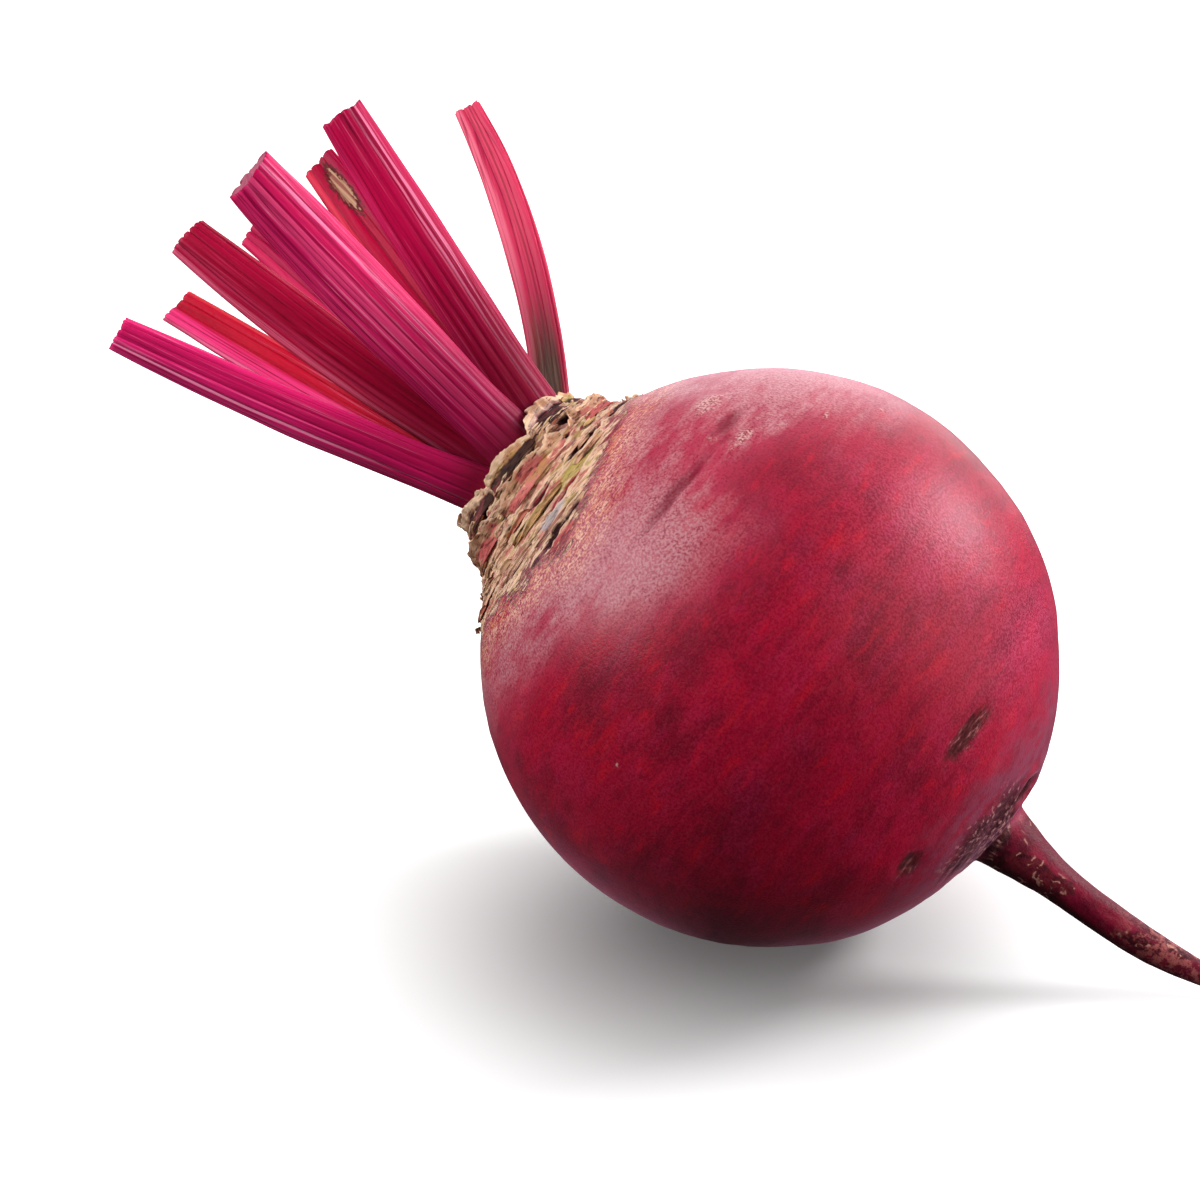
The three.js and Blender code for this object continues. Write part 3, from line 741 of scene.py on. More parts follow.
class RootSurface(Surface):
    """The root's material, with the patterns that several parts of its finish share."""

    def __init__(self):
        super().__init__("beetroot_skin")
        self.plain, ringed = self.place(), self.place(1, 1, 0.12)
        self.banded, self.drawn_out = self.place(1, 1, 0.42), self.place(1, 1, 0.2)
        self.cloud = self.noise(self.plain, 5 * MM, 4, 0.6)
        self.mottle = self.noise(self.plain, 1.2 * MM, 4, 0.7)
        self.grain = self.noise(self.plain, 0.34 * MM, 2, 0.6)
        self.dust = self.grain.fade(0.42, 0.62)
        self.layers = self.noise(ringed, 3.6 * MM, 5, 0.62, 0.8)
        self.shreds = self.noise(ringed, 1.2 * MM, 3, 0.65, 0.5)
        self.below = self.field("height") * -1  # millimetres below the bulb's centre
        self.tail = (self.below + 1.2 * self.cloud).fade(40.2, 42)
        self.wrinkled = self.field("wrinkled").stir(self.cloud, 0.7)

    def skin(self, settings):
        """Crimson with maroon blotches, scarlet and dark strokes drawn out round the root, and a film of
        dust that thickens towards the crown and up the upper side, partly a painted highlight. Rose
        patches on the lit right side are a painted highlight and sheen."""
        blotch = self.noise(self.banded, 19 * MM, 3, 0.5)
        stroke = self.noise(self.place(1, 1, 0.3), 6 * MM, 3, 0.5)
        haze = self.noise(self.banded, 8 * MM, 3, 0.6)
        thick = self.noise(self.banded, 11 * MM, 5, 0.62)
        drawn = self.noise(self.drawn_out, 4.5 * MM, 3, 0.6)
        # The film below thickens where light falls, towards the crown and up the upper side: partly a painted
        # highlight.
        dusty = self.field("dusty").stir(blotch, 14)
        film = dusty.fade(14, 26) * (thick * 0.7 + drawn * 0.3 + self.field("filmy") * 0.14).fade(0.39, 0.60)
        gaps = dusty.fade(10, 22) * self.grain.fade(0.45, 0.35) * drawn.fade(0.62, 0.40)
        return self.paint(
            settings.red,
            ((blotch * 0.6 + self.cloud * 0.4).fade(0.43, 0.62) * 0.85, settings.maroon),
            (stroke.fade(0.57, 0.72) * 0.55, settings.scarlet),
            (stroke.fade(0.48, 0.33) * 0.36, DARK_STROKE),
            (self.grain.fade(0.50, 0.36) * 0.38, DARK_SPECK),
            (self.dust * 0.12, DUST),
            (haze.fade(0.46, 0.66) * (0.10 + 0.20 * self.dust), HAZE),
            # Painted highlight and sheen: rose on the bulb's lit right side.
            (self.field("rosy") * (0.15 + 0.35 * self.dust), ROSE_HIGHLIGHT),
            # The film's colours: partly a painted highlight where light falls.
            (dusty.fade(10, 25) * 0.6, THIN_FILM_AND_HIGHLIGHT),
            (film * (0.35 + 0.60 * self.dust), settings.bloom_and_highlight),
            (gaps * 0.6, FILM_GAP),
        )

    def taproot(self):
        """Dark red, darker on its upper side, with rough dark patches, pale flecks and short curled lines."""
        lower = self.field("lower")
        rough = (self.noise(self.place(1, 1, 1.4), 4.2 * MM, 4, 0.6)
                 + lower * 0.08 + self.field("rough") * 0.15)
        broken = self.noise(self.plain, 1.5 * MM, 2, 0.5).fade(0.50, 0.56)
        curl = abs(self.noise(self.plain, 2.4 * MM, 2, 0.5) - 0.5).fade(0.045, 0.012) * broken
        return self.paint(
            self.mix(self.cloud.fade(0.38, 0.62), TAIL_RED, TAIL_MAROON),
            (lower.fade(0.55, 0.05) * 0.65, TAIL_SHADE),
            (rough.fade(0.57, 0.65) * 0.8, self.mix(self.mottle.fade(0.4, 0.6), ROUGH_DARK, ROUGH_RED)),
            (self.below.fade(56, 68) * self.mottle.fade(0.47, 0.58) * 0.7, TAIL_FLECK),
            (curl * rough.fade(0.54, 0.62), TAIL_CURL),
        )

    def joint(self, skin):
        """Purple round the place where the taproot leaves the bulb, partly a painted sheen, with dark
        wrinkles, painted shade in their folds, and pale arcs.
        """
        arcs = self.noise(self.place(0.55, 0.55, 2.6), 1.3 * MM, 3, 0.6)
        streaks = self.noise(self.place(2, 2, 0.5), 1.5 * MM, 3, 0.6)
        purple = self.below.stir(self.cloud, 10).fade(30, 37) * (1 - self.tail)
        fold = self.field("fold")
        creased = self.wrinkled.fade(0.15, 0.5)
        wrinkle = self.mix(arcs.fade(0.44, 0.58), WRINKLE_DARK, WRINKLE_BROWN)
        return self.paint(
            skin,
            # Mauve round the joint, partly a painted sheen.
            (purple * (0.35 + 0.5 * streaks.fade(0.40, 0.60)), JOINT_PURPLE_AND_SHEEN),
            (self.wrinkled.fade(0.30, 0.60) * 0.92, wrinkle),
            # Painted shade in the low parts of the folds.
            (creased * fold.fade(-0.05, -0.35) * 0.5, FOLD_SHADE),
            (creased * (arcs + fold * 0.10).fade(0.58, 0.66) * 0.8, JOINT_ARC),
        )

    def marks(self, skin, settings):
        """Healed dark scars, open pits with painted shade inside, creases with painted shade, and pale scabs.
        """
        across = self.noise(self.drawn_out, 1.8 * MM, 4, 0.65)
        healed = self.mix(across.fade(0.46, 0.58), HEALED_DARK, HEALED_BROWN)
        mark = self.field("mark").stir(self.mottle, 1.2)
        crease = self.field("crease").stir(self.mottle, 0.8)
        scab = self.field("scab").stir(self.mottle, 2.2).stir(self.cloud, 1.4)
        return self.paint(
            skin,
            (mark.fade(1.4, 0.6) * 0.88, healed),
            (mark.fade(1.6, 0.8) * across.fade(0.60, 0.66) * 0.6, HEALED_STREAK),
            # Painted shade inside the deep pits.
            (self.field("pit").fade(1.1, 0.75), settings.hollow),
            # Painted shade in the creases.
            (crease.fade(1.7, 0.4) * 0.8, CREASE_SHADE_RED),
            (scab.fade(1.2, 0.5) * self.dust * 0.8, SCAB_PALE),
            (scab.fade(1.2, 0.6) * self.grain.fade(0.46, 0.38) * 0.6, SCAB_DARK),
        )

    def cork(self, settings):
        """Tan and cream layers that run round the crown, stained, with old leaf scars in them: some empty,
        with painted shade inside, some red, pink or brown inside, all with a pale lip. What lies below its
        surroundings, and the pits, get painted shade."""
        layers, shreds = self.layers, self.shreds
        spots = self.noise(self.place(1, 1, 0.4), 3.0 * MM, 3, 0.6)
        leaf_scar = self.field("leaf_scar").stir(shreds, 0.5)
        fill = self.field("scar_fill").stir(layers, 0.5)
        inside = self.paint(
            # Empty scars: painted shade inside.
            settings.hollow,
            (fill.fade(0.18, 0.24), settings.scar_red),
            (fill.fade(0.42, 0.48), SCAR_PINK),
            (fill.fade(0.74, 0.82), SCAR_BROWN),
            (shreds.fade(0.58, 0.68) * 0.5, settings.tan),
        )
        return self.paint(
            settings.tan,
            (layers.fade(0.40, 0.56), settings.cream),
            (spots.fade(0.54, 0.61) * 0.75, CORK_PINK),
            (spots.fade(0.45, 0.37) * 0.7, settings.ochre),
            *((self.field(name).stir(shreds, 1.2).fade(0.35, 0.65) * 0.85, colour)
              for name, colour in STAIN_COLOURS.items()),
            (shreds.fade(0.57, 0.67) * 0.7, settings.cream),
            (shreds.fade(0.43, 0.36) * 0.85, CORK_GAP),
            (leaf_scar.fade(0.95, 0.70), inside),
            (abs(leaf_scar - 1.08).fade(0.20, 0.06) * layers.fade(0.36, 0.50) * 0.85, settings.cream),
            # Painted shade in the hollows and in the pits.
            (self.field("hollow").stir(self.grain, 0.5).fade(0.15, 0.65), settings.hollow),
            (self.field("pit").fade(1.15, 0.6), settings.hollow),
        )


def root_finish(settings):
    """Skin, taproot, joint, marks and cork, each over the one before. The cork ends in a ragged border with
    orange islands of it in the skin beyond."""
    surface = RootSurface()
    cork, layers, shreds = surface.field("cork"), surface.layers, surface.shreds
    tail, wrinkled, mottle, grain = surface.tail, surface.wrinkled, surface.mottle, surface.grain
    edge = cork.stir(layers, 1.8).stir(shreds, 1.5).stir(grain, 0.8)
    on_cork = edge.fade(0.32, 0.66)
    islands = cork.fade(-1.1, 0.25) * (shreds * 0.55 + grain * 0.45).fade(0.47, 0.56)
    skin = surface.mix(tail, surface.skin(settings), surface.taproot())
    skin = surface.marks(surface.joint(skin), settings)
    colour = surface.paint(
        skin,
        (islands * 0.8, surface.mix(layers.fade(0.4, 0.6), CORK_ORANGE, settings.cream)),
        (on_cork, surface.cork(settings)),
    )
    lines = surface.noise(surface.place(1, 1, 0.7), 1.9 * MM, 3, 0.6)
    normal = surface.bump(grain * 0.5 + mottle * 0.5, 0.09 * MM)
    normal = surface.bump(on_cork * (layers * 0.6 + shreds * 0.4), 0.8 * MM, normal)
    folded = tail.larger(wrinkled.fade(0.3, 0.7)) * (lines * 0.5 + mottle * 0.5)
    normal = surface.bump(folded, 0.18 * MM, normal)
    return surface.finish(
        Base_Color=colour, Roughness=0.34 + 0.14 * mottle + 0.38 * on_cork.larger(tail * 0.3), Normal=normal,
        Specular_IOR_Level=0.18, Sheen_Weight=0.25, Sheen_Roughness=0.30, Sheen_Tint=(1, 0.40, 0.62, 1))


class BEETROOT_OT_root(bpy.types.Operator):
    """Build the bulb, crown and taproot as one skin"""
    bl_idname = "beetroot.build_root"
    bl_label = "Root"

    def execute(self, context):
        settings = context.scene.beetroot_root
        places, fields = root_grid(settings)
        add_piece(skin_mesh("root_skin", places, fields), root_finish(settings), ["root"])
        return {"FINISHED"}


# ---- Leaf stalks ----

STALK_COLUMNS = 144
STALK_ROWS = 110
STALK_FOOT_ROWS = 22
STALK_FOOT = 2.4 * MM  # how far a stalk goes on below the height its length is counted from
STALK_DATUM = 46 * MM
STALK_THICKNESS = 0.6  # as a share of the width
CUT_INSETS = np.array([0.03, 0.09, 0.22, 0.45, 0.7, 0.9])  # how far in the cut end's rings are
CUT_SINKS = np.array([-0.05, 0.02, 0.22, 0.38, 0.30, 0.34]) * MM  # and how deep

# Turn it leans towards, turn its outer face looks to, turn of its foot, how far its foot is from the
# axis, lean and bend, length, and width at its foot, middle and tip, in degrees and millimetres.
STALKS = [
    (-114, -96, -114, 7.4, 20, -5.5, 54, (6.6, 7.3, 5.7)),
    (154, 130, 158, 7, 16.5, -5, 57.2, (5.2, 6.2, 5.9)),
    (-89, -64, -80, 4.2, 9, -13, 54.2, (5.4, 7.6, 6.4)),
    (107, 112, 118, 7, 17, -4, 56, (5, 6, 5.4)),
    (-42, -54, -45, 8, 21.5, 11, 51.8, (6.8, 9.2, 7.8)),
    (74, 116, 82, 7, 18.5, 2, 54.8, (5.2, 6.8, 5.6)),
    (6, -50, 2, 8.3, 20.3, 2.8, 49.2, (6.6, 7.7, 6.5)),
    (56, 114, 48, 10.3, 49, -22, 49, (4.8, 5.6, 4.1)),
]
HEART_LEAVES = [
    (40, 40, 60, 1.6, 6, 5, 15, (2.6, 2.8, 1.2)),
    (170, 170, 185, 2.2, 5, 8, 11, (2.4, 2.6, 1.1)),
]

# Grooves round each stalk, in degrees from the middle of its outer face.
GROOVES = [
    (-150, -110, -68, -40, -14, 14, 40, 68, 108, 140, 170),
    (-156, -128, -104, -72, -40, -8, 24, 56, 76, 112, 142, 170),
    (-152, -108, -74, -52, -30, -10, 12, 34, 56, 76, 110, 146, 178),
    (-150, -110, -72, -42, -10, 22, 52, 76, 112, 150, 178),
    (-152, -108, -76, -56, -37, -16, 4, 22, 38, 52, 66, 78, 108, 148, 178),
    (-156, -108, -74, -44, -14, 16, 48, 76, 112, 142, 176),
    (-150, -106, -74, -50, -28, -6, 16, 34, 48, 62, 78, 108, 148, 178),
    (-150, -108, -70, -26, 14, 48, 76, 110, 134, 164),
]

# Colours of each stalk: ridges, grooves, the pale lines on the ridges and how strong those are, how
# green-grey the foot is, and the bands that run along it: place across from -1 to 1, half width, colour
# and strength. The groove colour also makes the painted shade in the grooves and towards the foot. The
# pale lines are partly painted highlights on the ridges, the pale bands partly painted highlights along
# a stalk's lit side, and the darkest bands partly painted shade along its shaded side and in deep grooves.
PALE_AND_HIGHLIGHT, MAGENTA, CRIMSON = (1.0, 0.30, 0.50), (0.95, 0.050, 0.260), (0.40, 0.002, 0.050)
STALK_LOOKS = [
    ((0.88, 0.020, 0.190), (0.25, 0.002, 0.038), PALE_AND_HIGHLIGHT, 0.42, 0.0,
     ((0.62, 0.45, CRIMSON, 0.6), (-0.66, 0.34, MAGENTA, 0.75), (-0.24, 0.08, PALE_AND_HIGHLIGHT, 0.9))),
    ((0.52, 0.001, 0.026), (0.26, 0.001, 0.014), PALE_AND_HIGHLIGHT, 0.22, 0.0,
     ((0.60, 0.50, MAGENTA, 0.70), (-0.92, 0.14, (0.75, 0.050, 0.060), 0.6), (0.92, 0.12, PALE_AND_HIGHLIGHT, 0.4))),
    ((0.39, 0.002, 0.036), (0.14, 0.002, 0.014), (0.75, 0.12, 0.22), 0.25, 0.0,
     ((-0.85, 0.16, (0.80, 0.14, 0.26), 0.7), (-0.45, 0.25, (0.52, 0.035, 0.110), 0.5))),
    ((0.44, 0.003, 0.060), (0.16, 0.002, 0.024), (0.60, 0.08, 0.18), 0.15, 0.0,
     ((0.7, 0.3, (0.70, 0.020, 0.110), 0.6),)),
    ((0.74, 0.014, 0.135), (0.17, 0.002, 0.034), PALE_AND_HIGHLIGHT, 0.48, 0.0,
     ((-0.80, 0.22, (0.80, 0.030, 0.160), 0.70), (-0.20, 0.26, (0.74, 0.070, 0.200), 0.6),
      (0.20, 0.14, (0.56, 0.002, 0.080), 0.8), (0.54, 0.08, PALE_AND_HIGHLIGHT, 0.65),
      (0.86, 0.18, (0.66, 0.020, 0.120), 0.65), (-0.55, 0.05, CRIMSON, 0.8), (0.02, 0.05, CRIMSON, 0.8),
      (0.36, 0.05, CRIMSON, 0.8), (0.66, 0.03, CRIMSON, 0.7))),
    ((0.40, 0.001, 0.036), (0.20, 0.001, 0.018), (0.60, 0.05, 0.10), 0.12, 0.0,
     ((0.80, 0.26, (0.72, 0.035, 0.080), 0.70), (-0.72, 0.34, (0.30, 0.002, 0.045), 0.7))),
    ((0.44, 0.002, 0.054), (0.17, 0.002, 0.022), PALE_AND_HIGHLIGHT, 0.22, 0.1,
     ((-0.92, 0.12, (0.70, 0.030, 0.160), 0.45), (0.34, 0.05, PALE_AND_HIGHLIGHT, 0.6), (0.58, 0.06, PALE_AND_HIGHLIGHT, 0.75),
      (0.46, 0.06, (0.16, 0.002, 0.022), 0.7), (0.86, 0.16, (0.55, 0.004, 0.090), 0.6))),
    ((0.70, 0.045, 0.115), (0.28, 0.006, 0.040), (0.85, 0.20, 0.30), 0.32, 1.0,
     ((0.70, 0.34, (0.84, 0.170, 0.260), 0.8), (-0.18, 0.08, (0.30, 0.010, 0.030), 0.8))),
]

# Corky scars: share of the stalk's length, place across from -1 to 1, half length and half width.
STALK_SCARS = {6: (0.885, -0.2, 4.2, 1.1)}
STALK_SCAR_RIM = (0.07, 0.015, 0.015)
STALK_SCAR_TAN, STALK_SCAR_BROWN = (0.50, 0.30, 0.18), (0.28, 0.09, 0.07)
# The maroon at the foot is painted shade where a stalk goes into the crown.
FOOT_BLACK, FOOT_OLIVE, FOOT_SHADE_MAROON = (0.018, 0.016, 0.010), (0.13, 0.09, 0.06), (0.13, 0.006, 0.02)


def through_three(values, s):
    """The square curve that has the three values at s = 0, 1/2 and 1."""
    start, middle, end = values
    return start * (1 - s) * (1 - 2 * s) + 4 * middle * s * (1 - s) + end * s * (2 * s - 1)


def stalk_line(stalk, s):
    """Centres, ways along, ways outwards and ways across of a stalk at shares s of its length. The way
    along turns evenly from lean to lean + bend, so the centre is that way's integral in closed form.
    The outer face is turned about the way along, from the turn of the lean to the turn it looks to."""
    turn, face, base_turn, out, lean, bend, length, _ = stalk
    roll = math.radians(face - turn)
    turn, base_turn, lean, bend = np.radians([turn, base_turn, lean, bend])
    rise = np.array([0, 0, 1.0])
    aside = np.array([math.cos(turn), math.sin(turn), 0])
    foot = np.array([math.cos(base_turn) * out * MM, math.sin(base_turn) * out * MM, STALK_DATUM])
    inside = np.clip(s, 0, None)
    angle = (lean + bend * inside)[:, None]
    rose = (np.sin(angle) - math.sin(lean)) / bend
    went = (math.cos(lean) - np.cos(angle)) / bend
    below = np.minimum(s, 0)[:, None] * (math.cos(lean) * rise + math.sin(lean) * aside)
    centre = foot + length * MM * (rose * rise + went * aside + below)
    way = np.cos(angle) * rise + np.sin(angle) * aside
    outward = np.cos(angle) * aside - np.sin(angle) * rise
    across = np.cross(way, outward)
    return (centre, way, outward * math.cos(roll) + across * math.sin(roll),
            across * math.cos(roll) - outward * math.sin(roll))


def ridge_heights(angle, grooves, share, seed):
    """1 on a ridge and 0 in a groove. Between neighbouring grooves, at t from 0 to 1, a ridge is
    1 - |2t - 1|^5, so ridges are broad and grooves narrow. The grooves wander a little along the stalk."""
    grooves = np.array(grooves, float)
    position = stack(np.cos(np.radians(angle)) * 0.9, np.sin(np.radians(angle)) * 0.9, share * 2.6)
    wandering = half_turned(angle + 7 * noise(position, 1, seed))
    edges = np.concatenate([grooves[-1:] - 360, grooves, grooves[:1] + 360])
    index = np.searchsorted(edges, wandering, side="right") - 1
    index = np.clip(index, 0, len(edges) - 2)
    gap = edges[index + 1] - edges[index]
    t = (wandering - edges[index]) / gap
    return 1 - np.abs(2 * t - 1) ** 5, np.clip(gap / 30, 0.5, 1.3), index


def stalk_grid(number, stalk, settings):
    """Places on a stalk's skin and the numbers its finish needs. Round the section, at angle a from the
    middle of the outer face, a place is (cos a + 0.6 max(-cos a, 0)^3) half thicknesses out and sin a
    half widths across, less the grooves. The last rings turn in over the cut end."""
    length = stalk[6] * MM
    low = -STALK_FOOT / length
    closing = len(CUT_INSETS)
    s = np.concatenate([np.linspace(low, 0.1, STALK_FOOT_ROWS)[:-1],
                        np.linspace(0.1, 1, STALK_ROWS - STALK_FOOT_ROWS - closing + 1), np.ones(closing)])
    inset, sink = (np.concatenate([np.zeros(STALK_ROWS - closing), part])[:, None]
                   for part in (CUT_INSETS, CUT_SINKS))
    angle = half_turned(np.arange(STALK_COLUMNS) / STALK_COLUMNS * 360)
    cosine, sine = np.cos(np.radians(angle)), np.sin(np.radians(angle))
    centre, way, outward, across = stalk_line(stalk, s)
    wide = through_three(stalk[7], np.clip(s, 0, 1)) * MM * (1 + 0.22 * bell(s * length, -STALK_FOOT, 7 * MM))
    s, wide = s[:, None], wide[:, None]
    out = wide * STALK_THICKNESS / 2 * (cosine + 0.6 * np.maximum(-cosine, 0) ** 3)
    aside = wide / 2 * sine

    ridge, gap, index = ridge_heights(angle[None, :], GROOVES[number - 1], s, 40 + number)
    uneven = 0.75 + 0.5 * (cell_value(stack(index, 0, number), 3) * 0.5 + 0.5)
    depth = settings.groove_depth * gap * uneven * (fade(low, 0.12, s) * 0.75 + 0.25)
    lumps = 0.10 * MM * noise(stack(cosine, sine, s * 5), 0.8, 60 + number)
    shrink = 1 - ((1 - ridge) * depth - lumps) / np.maximum(np.hypot(out, aside), 0.8 * MM)
    shrink = shrink * (1 - inset)
    ragged = settings.cut_raggedness * (
        0.55 * noise(stack(cosine, sine, number), 0.35, 80) + 0.9 * (1 - ridge[-1]) + 0.35)
    slope = 0.16 * math.sin(number * 2.3) * aside[-1] + 0.10 * math.cos(number * 1.7) * out[-1]
    back = (ragged + slope - slope.min()) * fade(0.86, 1, s) * (1 - 0.8 * inset) + sink
    places = rings(centre, (outward, out * shrink), (across, aside * shrink), (way, -back))
    fields = {"ridge": ridge * (inset == 0), "across": wide * np.radians(angle) * 0.42, "side": sine,
              "along": s * length, "cut": fade(0.02, 0.14, inset)}
    if number in STALK_SCARS:
        share, q, half_length, half_width = STALK_SCARS[number]
        fields["scar"] = FAR * (cosine > 0) + np.hypot(
            (s - share) * length / (half_length * MM), (aside - q * wide / 2) / (half_width * MM))
    return to_frame(places), fields


def stalk_finish(number, settings):
    """Ridges of one red, grooves darkened with painted shade, pale lines along the ridges that are partly
    painted highlights, bands of which some are painted highlight and shade, painted shade towards the
    foot, a greyish cut end, and for some stalks a corky scar or a green-grey foot."""
    red, dark, pale, lines, green, bands = STALK_LOOKS[number - 1]
    surface = Surface(f"stalk_skin_{number}")
    along, ridge = surface.field("along"), surface.field("ridge")
    streak = surface.noise(surface.unrolled(1, 70, number), 0.5 * MM, 4, 0.66)
    broad = surface.noise(surface.unrolled(1, 8, number), 3.0 * MM, 3, 0.55)
    fine = surface.noise(surface.unrolled(1, 3, number), 0.30 * MM, 2, 0.6)
    aside = surface.field("side").stir(broad, 0.22)
    drawn = 0.6 + 0.4 * streak.fade(0.36, 0.52)

    def near_foot(wander, high, low):
        """0 above `high` millimetres and 1 below `low`, where the two wander up and down."""
        return along.stir(broad, wander * MM).fade(high * MM, low * MM)

    skin = surface.paint(
        red,
        (broad.fade(0.42, 0.62) * 0.25, dark),
        # Bands: the pale ones partly painted highlights along the lit side, the darkest partly painted shade.
        *((abs(aside - at).fade(half, half * 0.45) * strength * drawn, shade)
          for at, half, shade, strength in bands),
        (streak.fade(0.48, 0.36) * 0.60, dark),
        # Pale lines on the ridges, partly painted highlights.
        (streak.fade(0.54, 0.66) * ridge.fade(0.5, 0.95) * lines, pale),
        # Painted shade in the grooves.
        (ridge.fade(0.62, 0.05) * 0.9, dark),
        # Painted shade towards the foot, where the stalks crowd into the crown.
        (near_foot(16, 32, 6) * 0.62, dark),
    )
    if green:
        olive = near_foot(10, 18, 4) * green * abs(aside + 0.1).fade(0.95, 0.45)
        skin = surface.mix(olive * 0.92, skin, surface.mix(streak.fade(0.35, 0.65), FOOT_BLACK, FOOT_OLIVE))
    else:
        # Painted shade at the very foot.
        skin = surface.mix(near_foot(5, 7, 0.5) * 0.6, skin, FOOT_SHADE_MAROON)
    rough = 0.34 + 0.16 * streak
    if number in STALK_SCARS:
        scar = surface.field("scar").stir(fine, 1.2).stir(streak, 0.8)
        skin = surface.paint(
            skin,
            (scar.fade(1.45, 1.15) * 0.85, STALK_SCAR_RIM),
            (scar.fade(1.05, 0.8), surface.mix(streak.fade(0.4, 0.6), STALK_SCAR_TAN, STALK_SCAR_BROWN)),
        )
        rough = rough + scar.fade(1.3, 1.0) * 0.3
    skin = surface.mix(surface.field("cut") * 0.9, skin, surface.mix(fine, settings.pith, dark))
    return surface.finish(Base_Color=skin, Roughness=rough, Specular_IOR_Level=0.09,
                          Normal=surface.bump(streak * 0.7 + fine * 0.3, 0.14 * MM))


class BEETROOT_OT_stalks(bpy.types.Operator):
    """Build the eight cut leaf stalks"""
    bl_idname = "beetroot.build_stalks"
    bl_label = "Leaf stalks"

    def execute(self, context):
        settings = context.scene.beetroot_leaves
        for number, stalk in enumerate(STALKS, 1):
            places, fields = stalk_grid(number, stalk, settings)
            name = f"leaf_stalk_{number}"
            mesh = skin_mesh(f"{name}_skin", places, fields)
            add_piece(mesh, stalk_finish(number, settings), [name])
        return {"FINISHED"}


# ---- Heart leaves ----

HEART_COLUMNS = 64
HEART_ROWS = 60
HEART_FOOT = -0.25  # where the skin starts, as a share of the length
HEART_RED, HEART_DARK = (0.30, 0.012, 0.045), (0.10, 0.008, 0.02)
HEART_GREEN, HEART_VEIN = (0.06, 0.055, 0.02), (0.55, 0.12, 0.20)


def heart_leaf_grid(number, leaf):
    """A small folded leaf: round at its foot, then a blade folded up along its middle, with a curled
    edge, that narrows to its tip as the fourth root of what is left of the length."""
    s = np.linspace(HEART_FOOT, 1, HEART_ROWS)
    angle = np.arange(HEART_COLUMNS) / HEART_COLUMNS * 2 * np.pi
    q = np.sin(angle)
    centre, _, outward, across = stalk_line(leaf, s)
    s = s[:, None]
    wide = through_three(leaf[7], np.clip(s, 0, 1)) * MM * np.clip(1.02 - s, 0, 1) ** 0.25
    blade = fade(0.25, 0.6, s)
    thick = wide * (0.30 - 0.2 * blade) * np.cos(angle)
    fold = wide * 0.55 * blade * (0.5 - np.abs(q))
    crinkle = 0.14 * MM * blade * noise(stack(q, 0, s * 9), 0.5, 90 + number)
    aside = wide * q * (0.5 + 0.12 * blade)
    places = rings(centre, (outward, thick + fold + crinkle), (across, aside))
    return to_frame(places), {"across": aside, "along": s * leaf[6] * MM, "blade": blade}


def heart_leaf_finish():
    """Dark red, with a pale vein in the middle and a green cast towards the tip."""
    surface = Surface("heart_leaf_skin")
    streak = surface.noise(surface.unrolled(1, 10), 0.5 * MM, 4, 0.6)
    green = surface.field("blade") * surface.noise(surface.unrolled(1, 2), 1.6 * MM, 3).fade(0.42, 0.62)
    vein = abs(surface.field("across")).fade(0.35 * MM, 0.1 * MM)
    skin = surface.paint(surface.mix(streak.fade(0.35, 0.65), HEART_RED, HEART_DARK),
                         (green * 0.7, HEART_GREEN), (vein * 0.7, HEART_VEIN))
    return surface.finish(Base_Color=skin, Roughness=0.36 + 0.2 * streak,
                          Normal=surface.bump(streak, 0.15 * MM), Specular_IOR_Level=0.45)


class BEETROOT_OT_heart_leaves(bpy.types.Operator):
    """Build the two small leaves in the middle of the crown"""
    bl_idname = "beetroot.build_heart_leaves"
    bl_label = "Heart leaves"

    def execute(self, context):
        material = heart_leaf_finish()
        for number, leaf in enumerate(HEART_LEAVES, 1):
            places, fields = heart_leaf_grid(number, leaf)
            name = f"heart_leaf_{number}"
            add_piece(skin_mesh(f"{name}_blade", places, fields), material, [name])
        return {"FINISHED"}


# ---- Withered leaf bases ----

# The two rings: height of the foot and tip, lean, half span in degrees, how far the edge waves, the
# options of the finish, and the turn and extra height of each scale.
RIM_SCALES = {
    "name": "rim_leaf_base", "foot": 42.2, "top": 45.9, "lean": 0.05, "span": 22, "roll": 0.6,
    # The rim's pale edge starts low: partly a painted highlight on its rolled collar.
    "finish": {"redness": 0.45, "shaded": 0.95, "pale_edge_from": 0.60},
    "places": [(-151, 0), (-108, -0.6), (-62, 0.1), (-18, 0.9), (26, -0.2), (82, 0.3), (126, -0.4),
               (168, 0.4)],
}
NECK_SCALES = {
    "name": "neck_leaf_base", "foot": 38.2, "top": 41.9, "lean": 0.15, "span": 27, "roll": 0.45,
    "finish": {"redness": 0.8},
    "places": [(-118, 0), (-59, 0), (2, 0.2), (60, 0), (122, 0.4), (181, -0.3)],
}
SCALE_ROWS = 40
SCALE_COLUMNS = 128
SCALE_GIRTH = 13  # radius in millimetres at which a span is turned into a width
RUDDY_SIDE = (-57, 9)  # turn and reach in degrees of the side where the scales are reddest

FLAKE_COUNT = 170
FLAKE_TOP = 43.0
FLAKE_LIMITS = ((0.5, 1.1), (4, 13), (0, 0.2), (0.15, 0.3))  # height, half span, lean and thickness

SCALE_KINDS = (  # colours that some scales take: the mask's two ends and the colour
    (0.53, 0.56, (0.50, 0.37, 0.10)), (0.58, 0.61, (0.50, 0.08, 0.085)), (0.64, 0.67, (0.60, 0.44, 0.42)),
    (0.46, 0.43, (0.34, 0.15, 0.09)), (0.38, 0.35, (0.48, 0.21, 0.17)),
)
SCALE_CRIMSON, SCALE_OLIVE = (0.52, 0.09, 0.10), (0.34, 0.25, 0.035)
